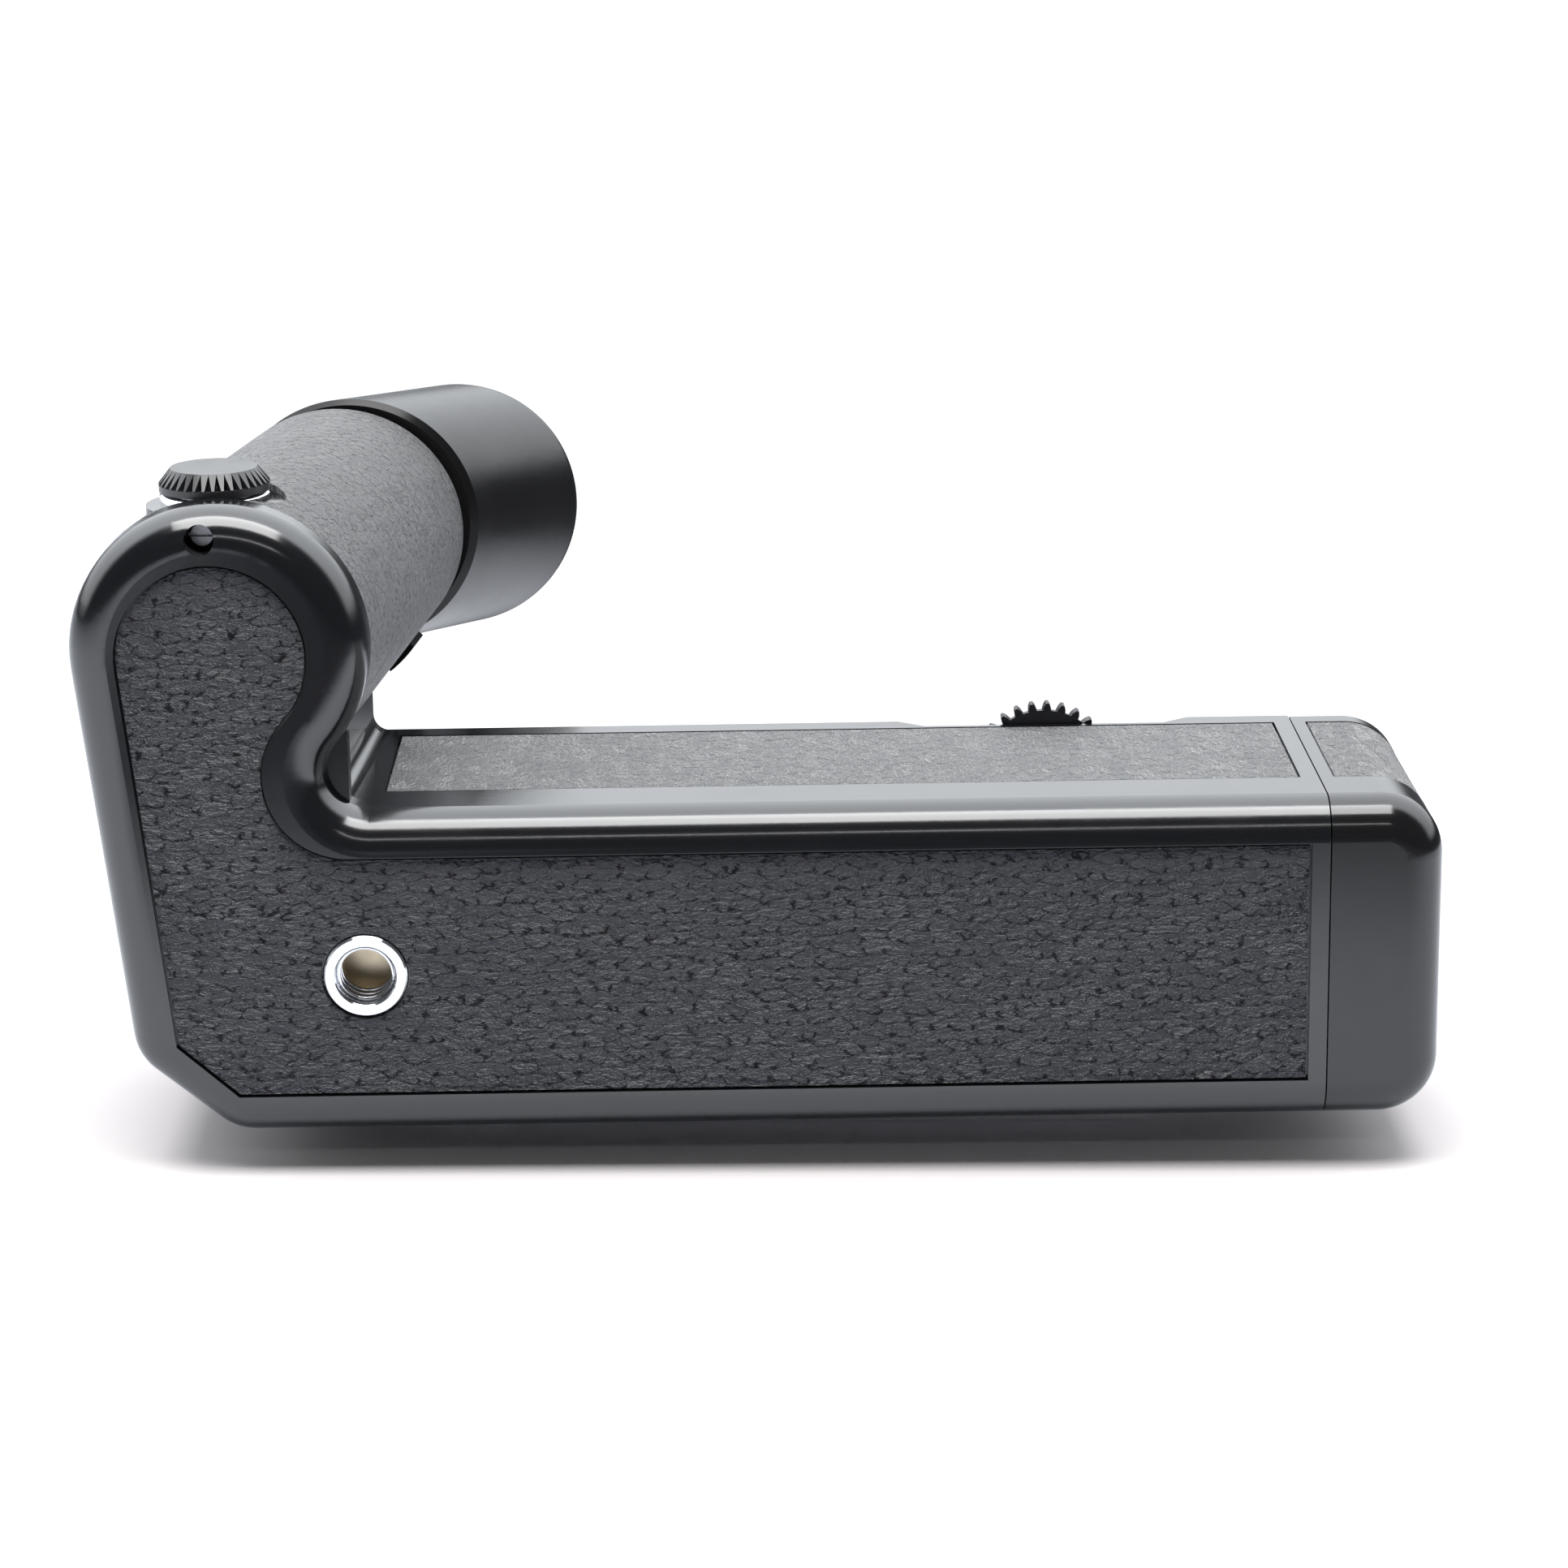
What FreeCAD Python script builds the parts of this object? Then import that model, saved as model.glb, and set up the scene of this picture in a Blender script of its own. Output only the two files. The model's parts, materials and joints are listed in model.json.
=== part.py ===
# Camera motor drive: a battery base that fastens under a camera, with a grip in front.
# Frame: it lies on its rear face. +X is the user's left, +Y is up in use, +Z is the lens side.
# The origin is the middle of the box in X and Y, and the rear face in Z. Lengths are in mm.

import FreeCAD
import Part
import math
import os

import Sketcher

# Driving sizes: name, value, meaning
SIZES = [
    ("overall_width", 144.0, "left to right over the base and the arm"),
    ("overall_height", 109.5, "bottom of the base to the top of the release button"),
    ("base_depth", 35.3, "rear face to front face of the base"),
    ("shell_height", 34.9, "bottom to the upper rim of the base shell"),
    ("plate_thickness", 2.2, "top plate"),
    ("cap_width", 12.4, "end cap, from its seam to the right end"),
    ("seam_gap", 0.15, "gap between base and end cap"),
    ("low_x", -67.1, "lower end of the slanted left side"),
    ("low_z", 8.5, "lower end of the slanted left side"),
    ("rear_x", -56.8, "left end of the rear face"),
    ("corner_radius", 6.0, "rounding of the two left corners"),
    ("bezel_radius", 4.3, "rounding round the bottom"),
    ("arm_x", -56.4, "centre of the arm's round end"),
    ("arm_z", 52.6, "centre of the arm's round end"),
    ("arm_radius", 15.6, "the arm's round end"),
    ("arm_height", 7.0, "bottom to where the grip starts"),
    ("neck_radius", 4.3, "hollow corner between arm and front face"),
    ("web_low_x", -45.4, "right side of the web, at the arm"),
    ("web_high_x", -43.45, "right side of the web, at the top plate"),
    ("web_radius", 1.9, "hollow corner between web and front face"),
    ("web_left_x", -69.4, "foot of the web's left side"),
    ("web_top_x", -66.4, "top of the web's left side"),
    ("web_top_z", 45.0, "top of the web under the grip"),
    ("skin", 0.6, "leather thickness"),
    ("skin_recess", 0.3, "leather surface below the metal"),
    ("strip_recess", 0.05, "front and end leathers below the metal"),
    ("skin_gap", 0.25, "gap round each leather panel"),
    ("panel_low_x", -62.4, "bottom leather, lower end of its left side"),
    ("panel_low_z", 10.4, "bottom leather, lower end of its left side"),
    ("panel_rear_x", -56.0, "bottom leather, left end of its rear edge"),
    ("panel_rear_z", 4.7, "bottom leather, rear edge"),
    ("panel_front_z", 30.9, "bottom leather, front edge"),
    ("panel_margin", 1.9, "bottom and front leather, right edge to the seam"),
    ("panel_arm_x", -56.9, "bottom leather, centre of its round end"),
    ("panel_arm_z", 52.5, "bottom leather, centre of its round end"),
    ("panel_arm_radius", 10.0, "bottom leather, round end"),
    ("panel_neck_radius", 8.7, "bottom leather, hollow corner"),
    ("strip_low", 10.6, "side leather, lower edge above the bottom"),
    ("strip_margin", 0.7, "front leather, upper edge to the top plate"),
    ("strip_left_x", -40.3, "front leather, left edge"),
    ("rear_strip_left_x", -50.0, "rear leather, left edge"),
    ("rear_strip_margin", 5.1, "rear leather, right edge to the seam"),
    ("rear_strip_low", 6.6, "rear leather, lower edge above the bottom"),
    ("rear_strip_top", 5.9, "rear leather, upper edge to the top plate"),
    ("cell_gap", 0.3, "between two cells"),
    ("cell_wall", 0.1, "cells to the side of the drawer"),
    ("stud_radius", 2.7, "stud of a cell"),
    ("stud_height", 1.0, "stud of a cell"),
    ("cell_edge", 0.4, "rounded ends of a cell"),
    ("chamber_floor", 1.95, "battery chamber above the bottom"),
    ("chamber_roof", 2.25, "metal over the battery chamber"),
    ("chamber_back", 2.5, "metal behind the battery chamber"),
    ("chamber_front", 2.1, "metal in front of the battery chamber"),
    ("drawer_clearance", 0.35, "drawer to its chamber, each side"),
    ("spring_room", 0.7, "leaf springs, how far they stand out"),
    ("end_plate", 1.2, "end plates of the drawer"),
    ("contact_strip", 0.4, "contact sheet"),
    ("contact_gap", 0.3, "leaf springs to the drawer"),
    ("rail_width", 2.2, "rails of the drawer"),
    ("rail_inset", 0.8, "rails of the drawer, from its sides"),
    ("rail_thickness", 2.3, "rails of the drawer"),
    ("strip_width", 5.0, "contact sheets of the drawer"),
    ("strip_inset", 4.0, "ends of the contact sheets, from the drawer's sides"),
    ("drawer_stud", 1.5, "contact studs of the drawer"),
    ("leaf_width", 6.0, "leaf springs"),
    ("leaf_half", 9.0, "leaf springs, from the middle to their ends"),
    ("leaf_foot", 2.4, "flat feet of the leaf springs"),
    ("leaf_top", 1.5, "flat tops of the leaf springs, from the middle"),
    ("leaf_sheet", 0.25, "leaf springs"),
    ("contact_board", 0.6, "board at the inner end of the chamber"),
    ("spar_radius", 2.5, "middle spar of the drawer"),
    ("cap_wall", 3.3, "end wall of the end cap"),
    ("cap_room_corner", 3.5, "inner corners of the end cap"),
    ("cap_corner", 6.5, "upright corners of the end cap"),
    ("cap_strip_margin", 1.6, "end cap leather, left edge to the seam"),
    ("cap_strip_rear_z", 8.0, "end cap leather, rear edge"),
    ("latch_length", 3.5, "latch slider along X"),
    ("latch_width", 8.0, "latch slider along Y"),
    ("latch_height", 1.1, "latch slider thickness"),
    ("latch_y", 18.0, "latch above the bottom"),
    ("latch_travel", 1.2, "how far the latch slides"),
    ("tongue_width", 4.0, "latch tongue"),
    ("tongue_reach", 1.0, "latch tongue past the seam"),
    ("chamber_end_x", -37.1, "inner end of the battery chamber"),
    ("chamber_wall", 0.8, "wall between chamber and gear room"),
    ("room_left_x", -65.3, "gear room, left wall"),
    ("room_rear_x", -56.3, "gear room, foot of the slanted corner"),
    ("room_low_z", 9.9, "gear room, top of the slanted corner"),
    ("room_rear_z", 1.9, "gear room, rear wall"),
    ("room_wall", 1.7, "front wall of the gear room"),
    ("room_floor", 2.3, "gear room floor above the bottom"),
    ("window_left_x", -65.0, "opening from gear room to grip, left"),
    ("window_right_x", -47.3, "opening from gear room to grip, right"),
    ("window_top_z", 48.0, "opening from gear room to grip, front end"),
    ("window_low", 7.0, "opening from gear room to grip, lower end"),
    ("window_high", 20.0, "opening from gear room to grip, upper end"),
    ("arm_room_radius", 11.9, "room inside the arm"),
    ("arm_room_floor", 3.4, "arm room floor above the bottom"),
    ("bush_x", -42.15, "tripod bush"),
    ("bush_z", 17.9, "tripod bush"),
    ("bush_flange_radius", 4.55, "tripod bush flange"),
    ("bush_radius", 4.0, "tripod bush barrel"),
    ("bush_length", 8.5, "tripod bush, bottom to its inner end"),
    ("bush_end", 1.5, "closed inner end of the tripod bush"),
    ("bush_chamfer", 0.15, "broken edge of the tripod bush's bore"),
    ("boss_wall", 1.0, "metal round the tripod bush"),
    ("thread_radius", 3.175, "quarter inch camera thread"),
    ("tube_top_x", -50.0, "grip tube centre at its top"),
    ("tube_top_z", 50.4, "grip tube centre at its top"),
    ("tube_top_radius", 14.9, "grip tube over the leather at its top"),
    ("tube_top", 74.0, "grip leather's upper edge above the bottom"),
    ("tube_wall", 1.6, "grip tube wall"),
    ("tube_clearance", 0.2, "grip spigot in the arm room"),
    ("spigot_wall", 2.0, "grip spigot wall"),
    ("flange_height", 1.2, "floor of the grip tube above the arm"),
    ("lug_radius", 2.1, "screw lugs of the grip spigot"),
    ("lug_circle", 8.0, "screw lugs, distance from the arm's centre"),
    ("head_x", -48.7, "grip head centre at its foot"),
    ("head_z", 51.1, "grip head centre at its foot"),
    ("head_foot_radius", 15.05, "grip head at its foot"),
    ("head_radius", 15.35, "grip head at its top"),
    ("head_low", 75.5, "grip head's foot above the bottom"),
    ("head_top_x", -36.5, "grip head centre at its top"),
    ("head_top_z", 47.2, "grip head centre at its top"),
    ("button_rise", 3.2, "release button above the head's top face"),
    ("head_rounding", 2.8, "upper edge of the grip head"),
    ("head_lip", 0.7, "lower edge of the grip head"),
    ("head_wall", 1.8, "grip head wall"),
    ("head_roof", 2.0, "grip head top wall"),
    ("spring_wire", 0.3, "wire of the button's spring, radius"),
    ("spring_turns", 4, "turns of the button's spring"),
    ("spring_radius", 2.4, "button's spring to the middle of its wire"),
    ("button_x", -38.0, "release button"),
    ("button_z", 47.0, "release button"),
    ("button_radius", 3.95, "release button"),
    ("button_travel", 1.5, "release button travel"),
    ("button_skirt", 0.8, "how far the button's skirt stands out"),
    ("button_skirt_height", 1.2, "skirt of the button"),
    ("stem_radius", 1.2, "stem of the button"),
    ("fit", 0.05, "running clearance on a radius"),
    ("collar_wall", 0.95, "collar round the button"),
    ("collar_height", 1.4, "collar above the head's top face"),
    ("ring_width", 3.6, "mode ring, from the collar outwards"),
    ("ring_height", 1.7, "mode ring"),
    ("ring_clearance", 0.1, "mode ring above the head"),
    ("web_step", 0.2, "how far the web's part of the plate lies below the camera face"),
    ("tab_length", 2.2, "finger tab of the mode ring"),
    ("tab_width", 2.6, "finger tab of the mode ring"),
    ("switch_drop", 10.2, "switch plate below the head's top face"),
    ("pillar_reach", 9.0, "switch plate pillars, from the button"),
    ("pillar_radius", 1.5, "switch plate pillars"),
    ("small_thread", 0.6, "thread of the smallest screws, radius"),
    ("switch_plate_thickness", 1.2, "switch plate"),
    ("switch_height", 0.5, "switch dome above its plate"),
    ("terminal_x", -57.2, "remote terminal"),
    ("terminal_y", 13.5, "remote terminal above the bottom"),
    ("seat_radius", 7.3, "terminal seat"),
    ("seat_z", 66.4, "terminal seat face"),
    ("seat_height", 3.8, "terminal seat"),
    ("ring_flange_radius", 5.8, "chrome ring"),
    ("ring_flange_height", 1.25, "chrome ring"),
    ("thread_collar_radius", 4.5, "chrome ring thread"),
    ("thread_collar_height", 1.45, "chrome ring thread"),
    ("socket_radius", 4.0, "bore of the chrome ring"),
    ("cap_radius", 5.85, "terminal cap"),
    ("cap_flat_radius", 4.6, "flat top of the terminal cap"),
    ("cap_height", 2.4, "terminal cap"),
    ("cap_thread_gap", 0.25, "terminal cap over the ring thread"),
    ("cap_roof", 0.8, "terminal cap top wall"),
    ("cap_teeth", 36, "serrations of the terminal cap"),
    ("cap_lift", 1.6, "how far the terminal cap unscrews"),
    ("liner_thickness", 0.3, "seal inside the terminal cap"),
    ("wheel_inset", 27.7, "thumbwheel's axis to the seam"),
    ("wheel_reach", 2.33, "thumbwheel in front of the front face"),
    ("wheel_teeth", 28, "thumbwheel teeth"),
    ("screw_teeth", 16, "teeth on the camera screw"),
    ("wheel_module", 0.5444, "tooth size of the thumbwheel"),
    ("wheel_thickness", 1.75, "thumbwheel"),
    ("screw_gear_thickness", 1.45, "teeth on the camera screw"),
    ("wheel_hub_radius", 7.25, "smooth side of the thumbwheel"),
    ("wheel_hub_height", 0.1, "smooth side of the thumbwheel"),
    ("wheel_head_height", 0.25, "head of the thumbwheel axle"),
    ("room_gap", 0.35, "room round the two toothed wheels"),
    ("wheel_gap", 0.1, "axial gap of the thumbwheel"),
    ("wheel_axle_radius", 1.0, "thumbwheel axle"),
    ("wheel_axle_head", 2.2, "head of the thumbwheel axle"),
    ("recess_half", 13.4, "finger recess, middle to the ends of its ledge"),
    ("recess_ramp", 2.9, "sloping ends of the finger recess"),
    ("recess_depth", 6.6, "finger recess, front to back"),
    ("screw_reach", 4.8, "camera screw above the top plate"),
    ("screw_lead", 0.6, "chamfer of the camera screw's tip"),
    ("thread_relief", 0.25, "undercut below the camera screw's thread"),
    ("pivot_radius", 1.5, "lower pivot of the camera screw"),
    ("pivot_depth", 0.9, "lower pivots in the shell roof"),
    ("module_size", 0.5, "tooth size of the reduction gears"),
    ("gear_teeth", 30, "large reduction gears"),
    ("pinion_teeth", 12, "small reduction gears"),
    ("coupling_x", -54.0, "drive coupling"),
    ("coupling_z", 21.0, "drive coupling"),
    ("train_x", -56.6, "axle line of the two reduction gears"),
    ("motor_x", -54.4, "motor axis"),
    ("gear_plate", 1.0, "gear plates"),
    ("gear_plate_low", 7.6, "lower gear plate above the bottom"),
    ("gear_plate_high", 18.2, "upper gear plate above the bottom"),
    ("layer_one", 9.2, "first gear layer above the bottom"),
    ("layer_pitch", 2.6, "gear layers"),
    ("layer_height", 2.0, "gear thickness"),
    ("axle_radius", 0.8, "gear axles"),
    ("hub_radius", 1.7, "gear hubs"),
    ("end_play", 0.3, "gear hubs to the plates"),
    ("post_radius", 1.2, "gear plate posts"),
    ("boss_radius", 2.0, "bosses under the lower gear plate"),
    ("motor_radius", 9.5, "motor can"),
    ("motor_length", 27.0, "motor can"),
    ("motor_wall", 0.8, "motor can"),
    ("magnet_thickness", 1.5, "motor magnets"),
    ("rotor_radius", 6.9, "motor armature"),
    ("shaft_radius", 1.0, "motor shaft"),
    ("bell_height", 3.0, "motor end bell"),
    ("coupling_shaft_radius", 2.0, "coupling shaft"),
    ("dog_radius", 3.2, "coupling head"),
    ("dog_reach", 0.9, "coupling tongue above the top plate"),
    ("dog_tongue", 1.4, "coupling tongue thickness"),
    ("drive_bush_wall", 1.2, "bush round the coupling"),
    ("board_x", -41.2, "circuit board, side of the gears"),
    ("board_thickness", 1.2, "circuit board"),
    ("board_low", 10.5, "circuit board, lower edge above the bottom"),
    ("board_high", 29.0, "circuit board, upper edge above the bottom"),
    ("block_x", -43.0, "contact block"),
    ("block_edge", 7.3, "contact block's middle to the front face"),
    ("block_size", 7.0, "contact block across"),
    ("pin_pitch", 2.0, "contact pins"),
    ("pin_radius", 0.55, "contact pins"),
    ("pin_travel", 0.7, "contact pin travel"),
    ("locator_radius", 1.25, "locating pins"),
    ("locator_reach", 1.9, "locating pins above the top plate"),
    ("locator_shoulder", 0.2, "locating pins, step at the top plate"),
    ("locator_lead", 0.5, "chamfer of the locating pins"),
    ("locator_x", -14.0, "locating pins"),
    ("locator_edge", 8.0, "locating pins to the front and rear faces"),
    ("plate_screw_edge", 4.9, "top plate screws to the front and rear faces"),
    ("plate_screw_inset", 6.6, "top plate screws to the seam"),
    ("plate_screw_step", 4.0, "top plate screws to the chamber's inner end"),
    ("middle_screw_step", 24.0, "middle top plate screw to the thumbwheel"),
    ("plate_screw_radius", 0.8, "top plate screws"),
    ("plate_screw_head", 1.5, "top plate screw heads"),
    ("arm_screw_x", -57.5, "recessed screw in the arm"),
    ("arm_screw_z", 65.1, "recessed screw in the arm"),
    ("arm_screw_hole", 1.55, "hole of the recessed screw"),
    ("arm_screw_depth", 3.2, "head of the recessed screw above the bottom"),
    ("pad_length", 8.0, "grip rest pad"),
    ("pad_width", 4.0, "grip rest pad"),
    ("pad_height", 0.65, "grip rest pad above the leather"),
    ("pad_low", 50.3, "grip rest pad above the bottom"),
]

doc = FreeCAD.newDocument("motor_drive")
sheet = doc.addObject("Spreadsheet::Sheet", "Sizes")


class Size:
    """A number together with the sheet formula that it comes from."""

    def __init__(self, number, formula):
        self.number = number
        self.formula = formula

    def __add__(self, other):
        return combine(self, other, "+", lambda a, b: a + b)

    def __radd__(self, other):
        return combine(other, self, "+", lambda a, b: a + b)

    def __sub__(self, other):
        return combine(self, other, "-", lambda a, b: a - b)

    def __rsub__(self, other):
        return combine(other, self, "-", lambda a, b: a - b)

    def __mul__(self, other):
        return combine(self, other, "*", lambda a, b: a * b)

    def __rmul__(self, other):
        return combine(other, self, "*", lambda a, b: a * b)

    def __truediv__(self, other):
        return combine(self, other, "/", lambda a, b: a / b)

    def __neg__(self):
        return 0.0 - self


def size(value):
    """Make a plain number usable beside the sheet's sizes."""
    if isinstance(value, Size):
        return value
    return Size(float(value), f"{float(value):.9f}")


def combine(left, right, sign, rule):
    """Join two sizes by an arithmetic sign, as a number and as a formula."""
    left = size(left)
    right = size(right)
    return Size(rule(left.number, right.number), f"({left.formula} {sign} {right.formula})")


def root(value):
    """Square root of a size."""
    return Size(math.sqrt(value.number), f"sqrt({value.formula})")


def smaller(left, right):
    """The smaller of two sizes."""
    return Size(min(left.number, right.number), f"min({left.formula}; {right.formula})")


class Names:
    """The sheet's sizes by name."""


s = Names()
for row, (alias, value, meaning) in enumerate(SIZES, start=1):
    sheet.set(f"A{row}", alias)
    sheet.set(f"B{row}", f"{value}")
    sheet.set(f"C{row}", meaning)
    sheet.setAlias(f"B{row}", alias)
    setattr(s, alias, Size(float(value), f"Sizes.{alias}"))
doc.recompute()

ROTATIONS = {
    "Z": FreeCAD.Rotation(),
    "-Z": FreeCAD.Rotation(FreeCAD.Vector(1, 0, 0), 180),
    "Y": FreeCAD.Rotation(FreeCAD.Vector(1, 0, 0), -90),
    "-Y": FreeCAD.Rotation(FreeCAD.Vector(1, 0, 0), 90),
    "X": FreeCAD.Rotation(FreeCAD.Vector(0, 1, 0), 90),
    "-X": FreeCAD.Rotation(FreeCAD.Vector(0, 1, 0), -90),
}
CLOSE = 1e-4
BIG = 40.0

pieces = {}


def up(distance):
    """Y of a height above the bottom of the base."""
    return distance - s.overall_height / 2


def bind(thing, path, value):
    """Tie one property to the sheet."""
    thing.setExpression(path, size(value).formula)


def place(thing, x, y, z, axis="Z", turn=0.0):
    """Stand a piece, modelled along its own Z, at a point and along an axis."""
    x, y, z = size(x), size(y), size(z)
    spin = FreeCAD.Rotation(FreeCAD.Vector(0, 0, 1), turn)
    spot = FreeCAD.Vector(x.number, y.number, z.number)
    thing.Placement = FreeCAD.Placement(spot, ROTATIONS[axis].multiply(spin))
    bind(thing, "Placement.Base.x", x)
    bind(thing, "Placement.Base.y", y)
    bind(thing, "Placement.Base.z", z)
    return thing


def box(name, x0, x1, y0, y1, z0, z1):
    """A block between two corners."""
    block = doc.addObject("Part::Box", name)
    bind(block, "Length", size(x1) - x0)
    bind(block, "Width", size(y1) - y0)
    bind(block, "Height", size(z1) - z0)
    return place(block, x0, y0, z0)


def rod(name, radius, length, x, y, z, axis="Y"):
    """A cylinder from a point along an axis."""
    cylinder = doc.addObject("Part::Cylinder", name)
    bind(cylinder, "Radius", radius)
    bind(cylinder, "Height", length)
    return place(cylinder, x, y, z, axis)


def fuse(name, parts):
    """Several shapes as one solid."""
    joined = doc.addObject("Part::MultiFuse", name)
    joined.Shapes = parts
    joined.Refine = True
    return joined


def cut(name, base, tools):
    """A shape less one or more others."""
    remainder = doc.addObject("Part::Cut", name)
    remainder.Base = base
    remainder.Tool = tools[0] if len(tools) == 1 else fuse(name + "_cutters", tools)
    return remainder


def common(name, parts):
    """What several shapes share."""
    shared = doc.addObject("Part::MultiCommon", name)
    shared.Shapes = parts
    return shared


def group(name, members):
    """Separate solids in one node."""
    bundle = doc.addObject("Part::Compound", name)
    bundle.Links = members
    return bundle


def piece(name, shape):
    """Name a finished piece for its node."""
    shape.Label = name
    pieces[name] = shape
    return shape


def origin_plane(body, role):
    """One of a body's own planes."""
    return [feature for feature in body.Origin.OriginFeatures if feature.Role == role][0]


def new_body(name):
    """An empty body."""
    return doc.addObject("PartDesign::Body", name + "_body")


def new_sketch(body, name, role, offset=0.0):
    """A sketch on one of the body's planes, moved along the plane's normal."""
    sketch = body.newObject("Sketcher::SketchObject", name)
    sketch.AttachmentSupport = (origin_plane(body, role), [""])
    sketch.MapMode = "FlatFace"
    bind(sketch, "AttachmentOffset.Base.z", offset)
    return sketch


def pin(sketch, part, point, x, y):
    """Fix a sketch point by two distances from the sketch's origin."""
    for kind, value in (("DistanceX", size(x)), ("DistanceY", size(y))):
        number = sketch.addConstraint(Sketcher.Constraint(kind, -1, 1, part, point, value.number))
        bind(sketch, f"Constraints[{number}]", value)


def radius_of(sketch, part, value):
    """Fix the radius of a sketch's circle or arc."""
    number = sketch.addConstraint(Sketcher.Constraint("Radius", part, value.number))
    bind(sketch, f"Constraints[{number}]", value)


def vector(x, y):
    """A sketch point from two sizes."""
    return FreeCAD.Vector(size(x).number, size(y).number, 0)


def polygon(sketch, corners):
    """A closed outline of straight sides, each corner fixed."""
    first = sketch.GeometryCount
    count = len(corners)
    for index, (x, y) in enumerate(corners):
        following = corners[(index + 1) % count]
        sketch.addGeometry(Part.LineSegment(vector(x, y), vector(*following)), False)
    for index in range(count):
        after = first + (index + 1) % count
        sketch.addConstraint(Sketcher.Constraint("Coincident", first + index, 2, after, 1))
    for index, (x, y) in enumerate(corners):
        pin(sketch, first + index, 1, x, y)
    return sketch


def circle(sketch, x, y, radius):
    """A circle with its centre and radius fixed."""
    round_line = Part.Circle(vector(x, y), FreeCAD.Vector(0, 0, 1), size(radius).number)
    part = sketch.addGeometry(round_line, False)
    pin(sketch, part, 3, x, y)
    radius_of(sketch, part, size(radius))
    return sketch


def pad(body, name, sketch, length, reverse=False):
    """Material from a sketch."""
    feature = body.newObject("PartDesign::Pad", name)
    feature.Profile = sketch
    bind(feature, "Length", length)
    feature.Reversed = reverse
    feature.Refine = True
    return feature


def pocket(body, name, sketch, length, reverse=False):
    """A hollow from a sketch."""
    feature = body.newObject("PartDesign::Pocket", name)
    feature.Profile = sketch
    bind(feature, "Length", length)
    feature.Reversed = reverse
    return feature


def edges_at(feature, test):
    """Names of the edges that pass a test."""
    edges = feature.Shape.Edges
    return [f"Edge{number}" for number, edge in enumerate(edges, start=1) if test(edge)]


def round_edges(body, name, feature, test, radius):
    """A rounding on the edges that pass a test."""
    names = edges_at(feature, test)
    if not names:
        raise RuntimeError(f"{name} found no edge")
    rounding = body.newObject("PartDesign::Fillet", name)
    rounding.Base = (feature, names)
    bind(rounding, "Radius", radius)
    doc.recompute()
    return rounding


def turned(name, profile, x, y, z, axis="Y", turn=0.0):
    """A body turned about its own Z from points given as radius and height."""
    body = new_body(name)
    sketch = polygon(new_sketch(body, name + "_profile", "XZ_Plane"), profile)
    revolution = body.newObject("PartDesign::Revolution", name + "_turning")
    revolution.Profile = sketch
    revolution.ReferenceAxis = (sketch, ["V_Axis"])
    revolution.Angle = 360.0
    body.Tip = revolution
    place(body, x, y, z, axis, turn)
    return body


def repeat(body, name, feature, count):
    """The same feature all round the body's own Z axis."""
    pattern = body.newObject("PartDesign::PolarPattern", name)
    pattern.Originals = [feature]
    axes = [item for item in body.Origin.OriginFeatures if item.Role == "Z_Axis"]
    pattern.Axis = (axes[0], [""])
    pattern.Angle = 360.0
    bind(pattern, "Occurrences", count)
    body.Tip = pattern
    return pattern


def same_y(edge, y):
    """Whether an edge lies in one horizontal plane."""
    box_of = edge.BoundBox
    return abs(box_of.YMin - y) < CLOSE and abs(box_of.YMax - y) < CLOSE


def same_x(edge, x):
    """Whether an edge lies in one plane across X."""
    box_of = edge.BoundBox
    return abs(box_of.XMin - x) < CLOSE and abs(box_of.XMax - x) < CLOSE


def leaning_at(edge, z, low, high, x):
    """Whether an edge leans in one plane across Z, between two heights, from a point."""
    box_of = edge.BoundBox
    flat = abs(box_of.ZMin - z) < CLOSE and abs(box_of.ZMax - z) < CLOSE
    ends = abs(box_of.YMin - low) < CLOSE and abs(box_of.YMax - high) < CLOSE
    return flat and ends and abs(box_of.XMin - x) < CLOSE


def upright_at(edge, x, z):
    """Whether an edge stands along Y at a point."""
    box_of = edge.BoundBox
    near = max(abs(box_of.XMin - x), abs(box_of.XMax - x), abs(box_of.ZMin - z), abs(box_of.ZMax - z))
    return near < CLOSE and box_of.YLength > CLOSE


bottom = up(0.0)
plate_low = up(s.shell_height)
plate_high = up(s.shell_height + s.plate_thickness)
plate_depth = s.shell_height + s.plate_thickness
head_high = s.overall_height - s.button_rise
switch_plate_y = head_high - s.switch_drop
right_x = s.overall_width / 2
seam_x = right_x - s.cap_width
wheel_x = seam_x - s.wheel_inset
panel_right_x = seam_x - s.panel_margin
strip_high = s.shell_height - s.strip_margin
rear_strip_high = s.shell_height - s.rear_strip_top
room_front_z = s.base_depth - s.room_wall
block_z = s.base_depth - s.block_edge
chamber_half_y = (s.shell_height - s.chamber_floor - s.chamber_roof) / 2
chamber_half_z = (s.base_depth - s.chamber_back - s.chamber_front) / 2
drawer_y = s.chamber_floor + chamber_half_y
drawer_z = s.chamber_back + chamber_half_z
drawer_half_y = chamber_half_y - s.drawer_clearance
drawer_half_z = chamber_half_z - s.drawer_clearance
cell_y = (drawer_half_y - s.cell_wall) / 2
cell_z = (drawer_half_z - s.cell_wall) / 2
cell_radius = smaller(cell_y, cell_z) - s.cell_gap / 2
cells_high = right_x - s.cap_wall - s.end_plate - s.contact_strip
spring_tip = s.chamber_end_x + s.contact_board + s.spring_room
cells_low = spring_tip + s.contact_gap + s.end_plate + s.contact_strip
cell_length = (cells_high - cells_low) / 2
seat_depth = s.skin + s.skin_recess
strip_seat = s.skin + s.strip_recess
wheel_tip = s.wheel_module * (s.wheel_teeth / 2 + 0.75)
wheel_z = s.base_depth + s.wheel_reach - wheel_tip
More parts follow.
